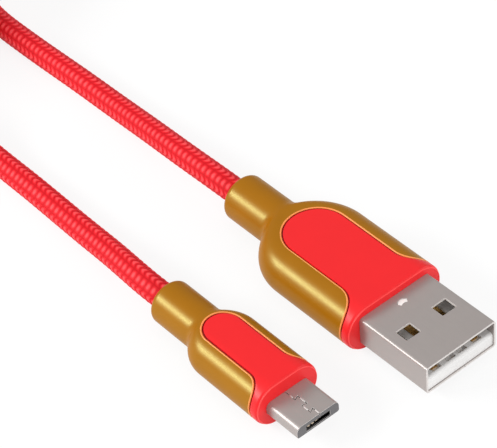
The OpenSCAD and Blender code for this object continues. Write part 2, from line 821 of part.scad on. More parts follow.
module micro_inner_mould() {
    room_y = max([for (p = m_wire_pins) abs(p[0])]) * pin_pitch + m_mound_r + room;
    room_z = m_strand_z(-1) - m_mound_r - room;
    color(mould_white)
        translate(m_place)
            difference() {
                m_mould();
                m_bar(m_insulator_rear - snug, m_mould_front + cut, -snug);
                // Chamber round the tails and the solder
                translate([m_tail_end - room, -room_y, room_z])
                    cube([m_tail_l + room + snug, 2 * room_y,
                        m_strand_z(1) + m_mound_r + room - room_z]);
                for (i = [0 : 3])
                    m_wire(i, snug);
            }
}

module micro_crimp() {
    color("silver")
        translate(m_place)
            crimp(m_mould_rear);
}

module micro_jacket_end() {
    color(red)
        translate(m_place)
            jacket_end(m_housing, m_mould_rear);
}

module micro_grip() {
    color(red)
        translate(m_place)
            difference() {
                grip(m_housing);
                m_bar(m_mould_front, cut, -snug);
                m_mould(snug);
                tail_bore(m_mould_rear);
            }
}

module micro_cover() {
    color(gold)
        translate(m_place)
            cover(m_housing);
}

// ---------- cord ----------

coil_centre = [-101.7, -18, cord_d / 2];
coil_entry = 72; // angle at which the cord reaches the outermost turn
coil_pitch = cord_d + coil_gap;
layer_turns = coil_turns / coil_layers;
coil_outer_r = coil_inner_r + coil_pitch * layer_turns;
coil_rings = 24; // rings in each turn

// The spiral runs in through one layer and out through the next, and climbs where it reverses
function turn_r(t) = let (k = floor(t / layer_turns), f = t - k * layer_turns)
    k % 2 == 0 ? coil_outer_r - coil_pitch * f : coil_inner_r + coil_pitch * f;
function ease(s) = let (c = min(max(s, 0), 1)) c * c * (3 - 2 * c);
function climb(t) = let (steps = [for (k = [1 : coil_layers - 1])
    ease(2 * (t - k * layer_turns) + 0.5)]) steps * [for (s = steps) 1];
function coil_point(t) = let (a = coil_entry + 360 * t, r = turn_r(t))
    coil_centre + [r * cos(a), r * sin(a), coil_pitch * climb(t)];

coil_steps = round(coil_turns * coil_rings);
coil_turn_points = [for (i = [0 : coil_steps]) coil_point(coil_turns * i / coil_steps)];
small = 0.0001; // a step small enough to give a direction
coil_in_way = unit(coil_point(small) - coil_point(0));
coil_out_way = unit(coil_point(coil_turns - small) - coil_point(coil_turns - 2 * small));
coil_in = coil_turn_points[0] - cord_d * coil_in_way;
coil_out = coil_turn_points[coil_steps] + cord_d * coil_out_way;
coil_route = concat([coil_in], coil_turn_points, [coil_out]);

// Least free gap between turns, over points at least half a turn apart
coil_least_gap = min([for (i = [0 : coil_steps - coil_rings / 2])
    min([for (j = [i + coil_rings / 2 : coil_steps])
        norm(coil_turn_points[i] - coil_turn_points[j])])]) - cord_d;

// Where the cord leaves each sleeve
a_exit = a_place - [a_total_l, 0, 0];
m_exit = m_place - [m_total_l, 0, 0];

floor_z = cord_d / 2; // height of a cord that lies on the floor

// From the A plug's sleeve down to the floor and to the coil
a_route = concat([a_exit, a_exit - [4, 0, 0.05]], [
    [-33, 0.1, 3.2], [-41, 0.5, 2.5], [-49, 0.8, floor_z], [-57, 0.7, floor_z],
    [-65, 0.5, floor_z], [-73, 0.4, floor_z], [-79.5, 0.75, floor_z], [-83.4, 1.55, floor_z]
], [coil_in - cord_d * coil_in_way, coil_in]);

// From the micro plug's sleeve along the floor, then up to the coil's top layer
m_route = concat([m_exit, m_exit - [4, 0, 0.05]], [
    [-24, -19, 2.6], [-31, -18.6, 2], [-38, -18.4, floor_z], [-45, -18.3, floor_z],
    [-52, -18.3, floor_z], [-58.5, -19, 3.2], [-65, -21.3, 6.2], [-71, -24.7, 10],
    [-76, -28.1, 12.9]
], [coil_out + cord_d * coil_out_way, coil_out]);

module cord_a() {
    color(red)
        tube(a_route, cord_d, 8);
}

module cord_coil() {
    color(red)
        tube(coil_route, cord_d, 6);
}

module cord_micro() {
    color(red)
        tube(m_route, cord_d, 8);
}

echo(coil_least_gap = coil_least_gap, coil_mean_d = coil_inner_r + coil_outer_r,
    coil_length = route_length(coil_route), a_length = route_length(a_route),
    micro_length = route_length(m_route),
    whole_length = route_length(coil_route) + route_length(a_route) + route_length(m_route));

// ---------- wires by colour ----------

module a_wire_red() {
    color(wire_colours[0])
        translate(a_place)
            a_wire(0);
}

module a_wire_white() {
    color(wire_colours[1])
        translate(a_place)
            a_wire(1);
}

module a_wire_green() {
    color(wire_colours[2])
        translate(a_place)
            a_wire(2);
}

module a_wire_black() {
    color(wire_colours[3])
        translate(a_place)
            a_wire(3);
}

module micro_wire_red() {
    color(wire_colours[0])
        translate(m_place)
            m_wire(0);
}

module micro_wire_white() {
    color(wire_colours[1])
        translate(m_place)
            m_wire(1);
}

module micro_wire_green() {
    color(wire_colours[2])
        translate(m_place)
            m_wire(2);
}

module micro_wire_black() {
    color(wire_colours[3])
        translate(m_place)
            m_wire(3);
}

// ---------- node list ----------

a_shell();
a_insulator();
a_contacts();
a_solder();
a_wire_red();
a_wire_white();
a_wire_green();
a_wire_black();
a_inner_mould();
a_crimp();
a_jacket_end();
a_grip();
a_cover();
micro_shell();
micro_insulator();
micro_contact_springs();
micro_tails();
latch_left();
latch_right();
micro_solder();
micro_wire_red();
micro_wire_white();
micro_wire_green();
micro_wire_black();
micro_inner_mould();
micro_crimp();
micro_jacket_end();
micro_grip();
micro_cover();
cord_a();
cord_coil();
cord_micro();
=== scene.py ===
import math
import bmesh
import bpy
import numpy as np
from mathutils import Matrix, Vector


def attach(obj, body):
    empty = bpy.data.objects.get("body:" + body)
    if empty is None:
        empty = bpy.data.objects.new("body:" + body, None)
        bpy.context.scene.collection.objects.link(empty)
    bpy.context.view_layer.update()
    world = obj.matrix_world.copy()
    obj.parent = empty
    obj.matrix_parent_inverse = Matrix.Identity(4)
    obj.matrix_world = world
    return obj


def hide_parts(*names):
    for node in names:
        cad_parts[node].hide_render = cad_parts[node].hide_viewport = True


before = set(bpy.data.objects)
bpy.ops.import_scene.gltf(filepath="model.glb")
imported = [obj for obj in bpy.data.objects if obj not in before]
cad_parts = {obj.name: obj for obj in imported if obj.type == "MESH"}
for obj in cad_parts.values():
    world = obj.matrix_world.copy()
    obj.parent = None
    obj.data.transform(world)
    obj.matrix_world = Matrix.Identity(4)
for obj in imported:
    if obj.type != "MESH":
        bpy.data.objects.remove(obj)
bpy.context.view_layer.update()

# ---------------------------------------------------------------- table, light and camera
# A white table top in soft studio light: an even pale room and four soft boxes. The long one low
# on the left draws the streaks along the round sides of the plugs.

MM = 0.001                                    # sizes are in millimetres, Blender's in metres
CAMERA_PLACE = (167.354, -141.009, 216.756)
CAMERA_SIDE = (52.981, 42.921)                # azimuth and elevation, in degrees
CAMERA_ROLL = -5.388
LENS, FILM = 170.16, 36
ROOM_LIGHT = 0.44
LIT_PLACE = (-5, -10, 4)                      # between the plugs, where the soft boxes point
TABLE_SIDE = 4                                # in metres
TABLE_GREY = 0.8                              # what the plugs get back from the table
TABLE_GLOW = 0.85                             # share of glow in the white that the camera sees

scene = bpy.context.scene
scene.view_settings.view_transform = "Standard"


def direction(azimuth, elevation):
    """Unit vector at an azimuth, round from -Y, and an elevation, both in degrees."""
    a, e = math.radians(azimuth), math.radians(elevation)
    return Vector((math.sin(a) * math.cos(e), -math.cos(a) * math.cos(e), math.sin(e)))


def aim(thing, back, turn=0.0):
    """Points a camera or lamp against the vector back, turned about its own axis."""
    look = (-back).to_track_quat("-Z", "Y").to_matrix().to_4x4()
    thing.matrix_world = (Matrix.Translation(thing.location) @ look
                          @ Matrix.Rotation(math.radians(turn), 4, "Z"))


camera = bpy.data.objects.new("camera", bpy.data.cameras.new("camera"))
scene.collection.objects.link(camera)
camera.location = Vector(CAMERA_PLACE) * MM
camera.data.lens = LENS
camera.data.sensor_width = FILM
camera.data.clip_start, camera.data.clip_end = 0.01, 10
aim(camera, direction(*CAMERA_SIDE), CAMERA_ROLL)
scene.camera = camera

world = bpy.data.worlds.new("pale_room")
world.use_nodes = True
world.node_tree.nodes["Background"].inputs["Color"].default_value = (1, 1, 1, 1)
world.node_tree.nodes["Background"].inputs["Strength"].default_value = ROOM_LIGHT
scene.world = world


def soft_box(name, azimuth, elevation, reach, width, height, radiance):
    """An area light of one radiance, reach metres from the plugs, width by height metres."""
    lamp = bpy.data.lights.new(name, "AREA")
    lamp.shape = "RECTANGLE"
    lamp.size, lamp.size_y = width, height
    lamp.energy = radiance * math.pi * width * height
    box = bpy.data.objects.new(name, lamp)
    scene.collection.objects.link(box)
    back = direction(azimuth, elevation)
    box.location = Vector(LIT_PLACE) * MM + back * reach
    aim(box, back)


soft_box("low_strip", -38, 30, 0.6, 0.34, 0.14, 20)
soft_box("far_strip", 150, 26, 0.6, 0.34, 0.09, 9)
soft_box("overhead_box", 53, 84, 0.6, 0.34, 0.34, 0.9)
soft_box("front_fill", 84, 18, 0.7, 0.5, 0.3, 4.4)


def feed(tree, socket, value):
    """Sets a socket to a number, or links it to another socket."""
    if isinstance(value, (int, float)):
        socket.default_value = value
    else:
        tree.links.new(value, socket)


def maths(tree, operation, *values, clamp=False):
    """The result of a Math node on numbers and sockets."""
    node = tree.nodes.new("ShaderNodeMath")
    node.operation, node.use_clamp = operation, clamp
    for socket, value in zip(node.inputs, values):
        feed(tree, socket, value)
    return node.outputs[0]


bpy.ops.mesh.primitive_grid_add(x_subdivisions=1, y_subdivisions=1, size=TABLE_SIDE)
table = bpy.context.object
table.name = "table_top"
table_white = bpy.data.materials.new("table_top")
table_white.use_nodes = True
tree = table_white.node_tree
tree.nodes.clear()
surface = tree.nodes.new("ShaderNodeOutputMaterial")
paint, bright = (tree.nodes.new("ShaderNodeBsdfDiffuse") for _ in range(2))
paint.inputs["Color"].default_value = (TABLE_GREY, TABLE_GREY, TABLE_GREY, 1)
bright.inputs["Color"].default_value = (1, 1, 1, 1)
glow = tree.nodes.new("ShaderNodeEmission")
glow.inputs["Strength"].default_value = 1.0
backdrop, either = (tree.nodes.new("ShaderNodeMixShader") for _ in range(2))
ray = tree.nodes.new("ShaderNodeLightPath")
seen = maths(tree, "MAXIMUM", ray.outputs["Is Camera Ray"], ray.outputs["Is Glossy Ray"])
seen = maths(tree, "MAXIMUM", seen, ray.outputs["Is Transmission Ray"])
for socket, value in zip(backdrop.inputs, (TABLE_GLOW, bright.outputs[0], glow.outputs[0])):
    feed(tree, socket, value)
for socket, value in zip(either.inputs, (seen, paint.outputs[0], backdrop.outputs[0])):
    feed(tree, socket, value)
tree.links.new(either.outputs[0], surface.inputs["Surface"])
table.data.materials.append(table_white)

# ---------------------------------------------------------------- braided cord
# A metre of round cord: a soft jacket over the wires, and a red nylon braid over the jacket.
# Both ends run into the plugs' sleeves; the spare length is wound up in a flat four-layer coil.

CORD_D = 3.7
JACKET_R = 1.62
COIL_CENTRE = np.array([-101.7, -18.0, CORD_D / 2])
COIL_INNER_R = 16.8
COIL_GAP = 0.45                               # between a turn and the next
COIL_TURNS, COIL_LAYERS = 6.66, 4
COIL_ENTRY = 72                               # degrees, where the A plug's end comes in
COIL_PITCH = CORD_D + COIL_GAP
LAYER_TURNS = COIL_TURNS / COIL_LAYERS
COIL_OUTER_R = COIL_INNER_R + COIL_PITCH * LAYER_TURNS
TURN_KNOTS = 24                               # knots of the cord's line in a turn of the coil
LINE_STEP = 0.1                               # between the points of the cord's line
JACKET_EVERY = 8                              # the jacket takes one of so many of them
BRAID_ROWS = 8                                # rows of floats round the cord
BRAID_STEP = 1.03                             # from one float to the next along a row
BRAID_LOW, BRAID_HIGH = 1.79, 1.86            # radius in the gaps and on the floats
BRAID_BOW = 0.26                              # how far a float's ends lag its middle, in steps
BRAID_LEAN = 0.25                             # how far a row lags or leads, in steps
FLOAT_REACH = 0.44                            # from a float's middle to the gap, in steps
BOW_POWER, HUMP_POWER, CROWN_POWER = 1.6, 0.8, 0.9       # how full a float's curves are
BRAID_TWIST = (-0.25, 0.4)                    # turn of the rows at the cord's two ends, in radians
# The reds in the gaps, on the floats' flanks and on their tops, by height: painted shade in the
# gaps and a painted highlight on the tops.
BRAID_SHADE_AND_HIGHLIGHT_REDS = ((0.1, (0.6, 0.007, 0.013)), (0.6, (0.8, 0.018, 0.027)), (1.0, (0.95, 0.085, 0.095)))
FIBRES = (16, 2.5, 1)                         # fibres in a step along a float, and in a row
FIBRE_SHADE = 0.16                            # how far the fibres shift the red


def ease(share):
    """From 0 to 1 with a soft start and a soft end."""
    share = min(max(share, 0), 1)
    return share * share * (3 - 2 * share)


def coil_point(t):
    """Middle of the cord t turns into the coil: inwards in one layer, outwards in the next."""
    layer = math.floor(t / LAYER_TURNS)
    part = t - layer * LAYER_TURNS
    r = COIL_OUTER_R - COIL_PITCH * part if layer % 2 == 0 else COIL_INNER_R + COIL_PITCH * part
    climb = sum(ease(2 * (t - k * LAYER_TURNS) + 0.5) for k in range(1, COIL_LAYERS))
    a = math.radians(COIL_ENTRY + 360 * t)
    return COIL_CENTRE + np.array([r * math.cos(a), r * math.sin(a), COIL_PITCH * climb])


def unit(v):
    return v / np.linalg.norm(v)


coil_steps = round(COIL_TURNS * TURN_KNOTS)
coil_knots = [coil_point(COIL_TURNS * i / coil_steps) for i in range(coil_steps + 1)]
hair = 1e-4                                   # of a turn
way_in = unit(coil_point(hair) - coil_point(0))
way_out = unit(coil_point(COIL_TURNS - hair) - coil_point(COIL_TURNS - 2 * hair))
a_run = [(-6.3, 0, 3.6), (-10, 0, 3.6), (-15, 0, 3.6), (-20.7, 0, 3.6), (-24.7, 0, 3.55),
         (-33, 0.1, 3.2), (-41, 0.5, 2.5), (-49, 0.8, 1.85), (-57, 0.7, 1.85),
         (-65, 0.5, 1.85), (-73, 0.4, 1.85), (-79.5, 0.75, 1.85), (-83.4, 1.55, 1.85),
         coil_knots[0] - 2 * CORD_D * way_in, coil_knots[0] - CORD_D * way_in]
micro_run = [(0.2, -19.6, 3.3), (-4, -19.6, 3.3), (-8, -19.6, 3.3), (-12.5, -19.6, 3.3),
             (-16.5, -19.6, 3.25), (-24, -19, 2.6), (-31, -18.6, 2), (-38, -18.4, 1.85),
             (-45, -18.3, 1.85), (-52, -18.3, 1.85), (-58.5, -19, 3.2), (-65, -21.3, 6.2),
             (-71, -24.7, 10), (-76, -28.1, 12.9), coil_knots[-1] + 2 * CORD_D * way_out,
             coil_knots[-1] + CORD_D * way_out]


def smooth_line(knots, step):
    """Points an even step apart on the smooth line through the knots, and the knots' places on it.

    The line is a natural cubic spline over the straight distances between the knots."""
    knots = np.array(knots, float)
    chord = np.r_[0, np.cumsum(np.linalg.norm(np.diff(knots, axis=0), axis=1))]
    n, h = len(knots), np.diff(chord)
    grid = np.eye(n)
    right = np.zeros((n, 3))
    for i in range(1, n - 1):
        grid[i, i - 1:i + 2] = h[i - 1], 2 * (h[i - 1] + h[i]), h[i]
        right[i] = 6 * ((knots[i + 1] - knots[i]) / h[i] - (knots[i] - knots[i - 1]) / h[i - 1])
    bend = np.linalg.solve(grid, right)
    u = np.linspace(0, chord[-1], int(chord[-1] / (2 * step)))
    i = np.clip(np.searchsorted(chord, u, side="right") - 1, 0, n - 2)
    a, b = ((chord[i + 1] - u) / h[i])[:, None], ((u - chord[i]) / h[i])[:, None]
    line = (a * knots[i] + b * knots[i + 1]
            + ((a ** 3 - a) * bend[i] + (b ** 3 - b) * bend[i + 1]) * (h[i] ** 2)[:, None] / 6)
    run = np.r_[0, np.cumsum(np.linalg.norm(np.diff(line, axis=0), axis=1))]
    even = np.linspace(0, run[-1], int(run[-1] / step) + 1)
    line = np.stack([np.interp(even, run, line[:, k]) for k in range(3)], 1)
    return line, even, np.interp(chord, u, run)


cord_line, cord_run, knot_run = smooth_line(a_run + coil_knots + micro_run[::-1], LINE_STEP)
# The two directions across the cord go along with its line and never twist about it.
cord_way = np.gradient(cord_line, axis=0)
cord_way /= np.linalg.norm(cord_way, axis=1)[:, None]
cord_side = np.zeros_like(cord_way)
cord_side[0] = np.cross((0, 0, 1), cord_way[0])
for i in range(1, len(cord_way)):
    cord_side[i] = unit(cord_side[i - 1] - (cord_side[i - 1] @ cord_way[i]) * cord_way[i])
cord_up = np.cross(cord_way, cord_side)


def put_mesh(name, points, faces, smooth=True):
    """A new piece with a mesh of these points and faces."""
    mesh = bpy.data.meshes.new(name)
    mesh.from_pydata([tuple(p) for p in points], [], faces)
    mesh.validate()
    if smooth:
        mesh.polygons.foreach_set("use_smooth", [True] * len(mesh.polygons))
    piece = bpy.data.objects.new(name, mesh)
    scene.collection.objects.link(piece)
    return piece


def braid(name, start, end, per_row, per_step):
    """The braid from one place on the cord's line to another, in mm along it, with per_row
    columns of points across a row of floats and per_step rings in a float's step."""
    columns = BRAID_ROWS * per_row
    off_row = 2 * (np.arange(columns) % per_row) / per_row - 1      # -1 between rows, 0 mid-row
    row = np.arange(columns) // per_row
    lean = np.where(row % 2 == 0, -BRAID_LEAN, BRAID_LEAN) * np.cos(np.pi * off_row / 2) ** 2
    lag = lean + BRAID_BOW * np.abs(off_row) ** BOW_POWER
    first, last = math.floor(start / BRAID_STEP) - 1, math.ceil(end / BRAID_STEP) + 1
    u = np.arange(first * per_step, last * per_step + 1) / per_step
    along = (u[:, None] + lag[None]) * BRAID_STEP
    keep = (along.max(1) > start) & (along.min(1) < end)
    u, along = u[keep], along[keep]
    inside = (along >= start) & (along <= end)
    along = np.clip(along, start, end)
    off_float = np.abs((u + 0.5) % 1 - 0.5)
    hump = np.cos(np.pi * np.clip(off_float / FLOAT_REACH, 0, 1) / 2) ** HUMP_POWER
    lift = hump[:, None] * ((1 - off_row ** 2) ** CROWN_POWER)[None] * inside
    across = row + (off_row + 1) / 2
    phi = across * 2 * np.pi / BRAID_ROWS + np.interp(along, (0, cord_run[-1]), BRAID_TWIST)
    r = BRAID_LOW + (BRAID_HIGH - BRAID_LOW) * lift
    where = np.interp(along, cord_run, np.arange(len(cord_run)))
    i = np.clip(where.astype(int), 0, len(cord_run) - 2)
    f = (where - i)[..., None]
    mid, side, up = (way[i] * (1 - f) + way[i + 1] * f for way in (cord_line, cord_side, cord_up))
    points = mid + r[..., None] * (np.cos(phi)[..., None] * side + np.sin(phi)[..., None] * up)
    rings = len(u)
    q = np.arange((rings - 1) * columns).reshape(rings - 1, columns)
    nxt = np.roll(q, -1, axis=1)
    quads = np.stack([q, nxt, nxt + columns, q + columns], -1).reshape(-1, 4)
    ends = [list(range(columns))[::-1], [(rings - 1) * columns + k for k in range(columns)]]
    piece = put_mesh(name, points.reshape(-1, 3) * MM, quads.tolist() + ends)
    height = piece.data.attributes.new("lift", "FLOAT", "POINT")
    height.data.foreach_set("value", lift.astype(np.float32).ravel())
    place = piece.data.attributes.new("strand", "FLOAT_VECTOR", "POINT")
    flat = np.stack([u[:, None] + 0 * along, across + 0 * along, 0 * along], -1)
    place.data.foreach_set("vector", flat.astype(np.float32).ravel())
    return piece


def round_line(name, spots, radius, steps, closed):
    """A round bar along a line of points, open or closed."""
    bar = bpy.data.curves.new(name, "CURVE")
    bar.dimensions, bar.bevel_depth, bar.bevel_resolution = "3D", radius * MM, steps
    line = bar.splines.new("POLY")
    line.points.add(len(spots) - 1)
    line.points.foreach_set("co", np.c_[np.array(spots) * MM, np.ones(len(spots))].ravel())
    line.use_cyclic_u = closed
    line.use_smooth = True
    piece = bpy.data.objects.new(name, bar)
    scene.collection.objects.link(piece)
    return piece


a_end = knot_run[len(a_run) - 1]
micro_start = knot_run[len(a_run) + len(coil_knots)]
braid_a = braid("braid_a", 0, a_end, per_row=8, per_step=12)
braid_coil = braid("braid_coil", a_end, micro_start, per_row=3, per_step=4)
braid_micro = braid("braid_micro", micro_start, cord_run[-1], per_row=8, per_step=12)
cord_jacket = round_line("cord_jacket", cord_line[::JACKET_EVERY], JACKET_R, 3, closed=False)


def new_finish(name):
    """A new material, its node tree and its shader."""
    finish = bpy.data.materials.new(name)
    finish.use_nodes = True
    return finish, finish.node_tree, finish.node_tree.nodes["Principled BSDF"]


def noise(tree, place, scale, detail):
    """The value of a Noise node; its scale is a number or a socket."""
    node = tree.nodes.new("ShaderNodeTexNoise")
    node.inputs["Detail"].default_value = detail
    feed(tree, node.inputs["Scale"], scale)
    tree.links.new(place, node.inputs["Vector"])
    return node.outputs["Fac"]


def stretched(tree, place, scale):
    """A place scaled by its own amount along each axis."""
    node = tree.nodes.new("ShaderNodeMapping")
    node.inputs["Scale"].default_value = scale
    tree.links.new(place, node.inputs["Vector"])
    return node.outputs["Vector"]


red_braid, tree, shader = new_finish("red_braid")
lift, strand = (tree.nodes.new("ShaderNodeAttribute") for _ in range(2))
lift.attribute_name, strand.attribute_name = "lift", "strand"
fibres = noise(tree, stretched(tree, strand.outputs["Vector"], FIBRES), 1.0, 2.0)
ramp = tree.nodes.new("ShaderNodeValToRGB")
ramp.color_ramp.elements.new(0.5)
for stop, (place, colour) in zip(ramp.color_ramp.elements, BRAID_SHADE_AND_HIGHLIGHT_REDS):
    stop.position, stop.color = place, (*colour, 1)
# The height picks the red from the ramp: painted shade in the gaps, a painted highlight on the
# floats.
tone = maths(tree, "MULTIPLY_ADD", fibres, FIBRE_SHADE, lift.outputs["Fac"])
tree.links.new(tone, ramp.inputs["Fac"])
tree.links.new(ramp.outputs["Color"], shader.inputs["Base Color"])
weave = tree.nodes.new("ShaderNodeBump")
weave.inputs["Distance"].default_value = 2e-5
weave.inputs["Strength"].default_value = 0.6
tree.links.new(fibres, weave.inputs["Height"])
tree.links.new(weave.outputs["Normal"], shader.inputs["Normal"])
shader.inputs["Roughness"].default_value = 0.55
shader.inputs["Specular IOR Level"].default_value = 0.12
for piece in (braid_a, braid_coil, braid_micro):
    piece.data.materials.append(red_braid)
    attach(piece, "cable")
cord_jacket.data.materials.append(red_braid)
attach(cord_jacket, "cable")
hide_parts("cord_a", "cord_coil", "cord_micro")
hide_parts("cord_a", "a_jacket_end")
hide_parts("cord_coil")
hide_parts("cord_micro", "micro_jacket_end")

# ---------------------------------------------------------------- wires
# Four thin copper wires in each plug, each in a soft plastic coat of its own colour. They fan
# out from the cord's cut end and are soldered to the rear ends of the contacts.

SKIN_CLOUDS = 350                             # soft patches of shade, per metre


def new_group(name, inputs, outputs):
    """A shader node group with named inputs and outputs, and its two end nodes."""
    group = bpy.data.node_groups.new(name, "ShaderNodeTree")
    for way, sockets in (("INPUT", inputs), ("OUTPUT", outputs)):
        for label, kind in sockets:
            group.interface.new_socket(name=label, in_out=way, socket_type="NodeSocket" + kind)
    return group, group.nodes.new("NodeGroupInput"), group.nodes.new("NodeGroupOutput")


def shaded(tree, colour, swing):
    """A colour made lighter or darker by a swing about 0."""
    node = tree.nodes.new("ShaderNodeVectorMath")
    node.operation = "SCALE"
    tree.links.new(colour, node.inputs[0])
    tree.links.new(maths(tree, "ADD", swing, 1.0), node.inputs["Scale"])
    return node.outputs[0]


def moulded_skin():
    """Node group for moulded plastic and lacquer: a little shade, gloss and fine relief."""
    group, given, put = new_group(
        "moulded_skin",
        (("Colour", "Color"), ("Shade spread", "Float"), ("Roughness", "Float"),
         ("Grains per metre", "Float"), ("Clouds per metre", "Float")),
        (("Colour", "Color"), ("Roughness", "Float"), ("Height", "Float")))
    place = group.nodes.new("ShaderNodeTexCoord").outputs["Object"]
    grain = noise(group, place, given.outputs["Grains per metre"], 2.0)
    cloud = noise(group, place, given.outputs["Clouds per metre"], 3.0)
    swing = maths(group, "MULTIPLY", maths(group, "SUBTRACT", cloud, 0.5), 2.0)
    shade = maths(group, "MULTIPLY", swing, given.outputs["Shade spread"])
    speckle = maths(group, "MULTIPLY", maths(group, "SUBTRACT", grain, 0.5), 0.12)
    gloss = maths(group, "ADD", maths(group, "ADD", given.outputs["Roughness"], speckle),
                  maths(group, "MULTIPLY", swing, 0.03), clamp=True)
    group.links.new(shaded(group, given.outputs["Colour"], shade), put.inputs["Colour"])
    group.links.new(gloss, put.inputs["Roughness"])
    group.links.new(grain, put.inputs["Height"])
    return group


skin_group = moulded_skin()


def finish_from(group, name, values, relief, sockets):
    """A material whose colour, gloss and relief come from a node group given these values, and
    whose shader has these sockets set."""
    finish, tree, shader = new_finish(name)
    skin = tree.nodes.new("ShaderNodeGroup")
    skin.node_tree = group
    for label, value in values.items():
        skin.inputs[label].default_value = value
    bump = tree.nodes.new("ShaderNodeBump")
    bump.inputs["Distance"].default_value = relief
    tree.links.new(skin.outputs["Colour"], shader.inputs["Base Color"])
    tree.links.new(skin.outputs["Roughness"], shader.inputs["Roughness"])
    tree.links.new(skin.outputs["Height"], bump.inputs["Height"])
    tree.links.new(bump.outputs["Normal"], shader.inputs["Normal"])
    for label, value in (sockets or {}).items():
        shader.inputs[label].default_value = value
    return finish


def skinned(name, colour, roughness, spread, grains=9000, relief=2e-6, sockets=None):
    """Material of one moulded or coated surface."""
    values = {"Colour": (*colour, 1), "Shade spread": spread, "Roughness": roughness,
              "Grains per metre": grains, "Clouds per metre": SKIN_CLOUDS}
    return finish_from(skin_group, name, values, relief, sockets)


def dress(finish, *names):
    """Gives nodes of the frame that stay as they are their finish."""
    for name in names:
        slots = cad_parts[name].data.materials
        slots.clear()
        slots.append(finish)


for colour, tone in (("red", (0.5, 0.02, 0.02)), ("white", (0.7, 0.7, 0.68)),
                     ("green", (0.03, 0.3, 0.1)), ("black", (0.02, 0.02, 0.02))):
    coat = skinned("wire_" + colour, tone, 0.4, 0.08)
    dress(coat, "a_wire_" + colour, "micro_wire_" + colour)

# ---------------------------------------------------------------- contacts and solder joints
# Strips of thin bronze sheet with a gold plating: four lie on the A plug's tongue, and the five
# tails of the micro plug hold its springs. Each wire is joined to its strip by a bead of solder.

METAL_STREAKS = (300, 9000, 9000)             # per metre along X, Y and Z
METAL_SPOTS = 900                             # per metre


def drawn_metal():
    """Node group for rolled sheet: long faint streaks along X in shade, gloss and relief."""
    group, given, put = new_group(
        "drawn_metal",
        (("Colour", "Color"), ("Roughness", "Float"), ("Streak", "Float")),
        (("Colour", "Color"), ("Roughness", "Float"), ("Height", "Float")))
    place = group.nodes.new("ShaderNodeTexCoord").outputs["Object"]
    streaks = noise(group, stretched(group, place, METAL_STREAKS), 1.0, 3.0)
    spots = noise(group, place, METAL_SPOTS, 4.0)
    both = maths(group, "MULTIPLY_ADD", streaks, 0.6, maths(group, "MULTIPLY", spots, 0.4))
    swing = maths(group, "MULTIPLY", maths(group, "SUBTRACT", both, 0.5), given.outputs["Streak"])
    gloss = maths(group, "ADD", given.outputs["Roughness"], swing, clamp=True)
    group.links.new(shaded(group, given.outputs["Colour"], swing), put.inputs["Colour"])
    group.links.new(gloss, put.inputs["Roughness"])
    group.links.new(streaks, put.inputs["Height"])
    return group


metal_group = drawn_metal()


def metal(name, colour, roughness, streak=0.12, relief=1e-6, metallic=1.0):
    """Material of one bare or plated metal; a satin plating reflects less like a mirror."""
    values = {"Colour": (*colour, 1), "Roughness": roughness, "Streak": streak}
    return finish_from(metal_group, name, values, relief, {"Metallic": metallic})


contact_plating = metal("contact_plating", (0.75, 0.47, 0.16), 0.25)
solder_tin = metal("solder_tin", (0.55, 0.55, 0.56), 0.35, streak=0.3, relief=4e-6)
dress(contact_plating, "a_contacts", "micro_tails")
dress(solder_tin, "a_solder", "micro_solder")

# ---------------------------------------------------------------- insulators
# The blocks of hard moulded plastic that carry the contacts, white in the A plug and black in
# the micro plug. A raised half-moon on the white one snaps into the shell's half-moon hole.

A_AT = (9.5, 0, 3.6)                          # middle of the A plug's collar, on its front face
MOON_X = 1.9                                  # middle of the half-moon hole, in front of the face
MOON_R, MOON_TURN = 0.9, 62                   # its round edge, and half of that arc in degrees
HOLLOW_R, HOLLOW_X, HOLLOW_TURN = 0.765, 0.63, 42        # the same of its hollow edge
MOON_FIT = 0.93                               # the half-moon's size as a share of its hole
MOON_FOOT, MOON_TOP = 1.8, 2.22               # heights over the plug's middle


def prism(outline, low, high, axis="Z"):
    """Points and faces of a closed prism over an outline, given anticlockwise."""
    n = len(outline)
    if axis == "X":
        points = [(low, y, z) for y, z in outline] + [(high, y, z) for y, z in outline]
    else:
        points = [(x, y, low) for x, y in outline] + [(x, y, high) for x, y in outline]
    faces = [list(range(n))[::-1], list(range(n, 2 * n))]
    faces += [(k, (k + 1) % n, n + (k + 1) % n, n + k) for k in range(n)]
    return points, faces


def close_up(piece, at):
    """Brings a mesh made in mm about a plug's face to its place, and welds its doubled points."""
    piece.data.transform(Matrix.Diagonal((MM, MM, MM, 1)))
    piece.data.transform(Matrix.Translation(Vector(at) * MM))
    work = bmesh.new()
    work.from_mesh(piece.data)
    bmesh.ops.remove_doubles(work, verts=work.verts, dist=0.003 * MM)
    bmesh.ops.dissolve_degenerate(work, edges=work.edges, dist=0.002 * MM)
    work.normal_update()
    work.to_mesh(piece.data)
    work.free()
    return piece


# The half-moon's round edge is towards the cord, and its hollow edge towards the mouth.
moon = [(-MOON_R * math.cos(t), -MOON_R * math.sin(t))
        for t in np.radians(np.linspace(-MOON_TURN, MOON_TURN, 19))]
moon += [(HOLLOW_X - HOLLOW_R * math.cos(t), HOLLOW_R * math.sin(t))
         for t in np.radians(np.linspace(-HOLLOW_TURN, HOLLOW_TURN, 11))]
boss_points, boss_faces = prism([(MOON_X + MOON_FIT * x, MOON_FIT * y) for x, y in moon],
                                MOON_FOOT, MOON_TOP)
half_moon = close_up(put_mesh("a_half_moon", boss_points, boss_faces, smooth=False), A_AT)
insulator_white = skinned("insulator_white", (0.78, 0.77, 0.76), 0.3, 0.02)
insulator_black = skinned("insulator_black", (0.09, 0.088, 0.09), 0.45, 0.1)
# The half-moon is the insulator's own white plastic, painted lighter as a highlight.
half_moon.data.materials.append(skinned("painted_highlight_boss", (0.93, 0.91, 0.88), 0.35, 0.02))
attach(half_moon, "cable")
dress(insulator_white, "a_insulator")
dress(insulator_black, "micro_insulator")

# ---------------------------------------------------------------- contact springs
# Five leaf springs side by side in the micro plug's slot, stamped from thin bronze sheet. Each
# is held by its tail in the black insulator, and its tip is bent to a round contact bump.

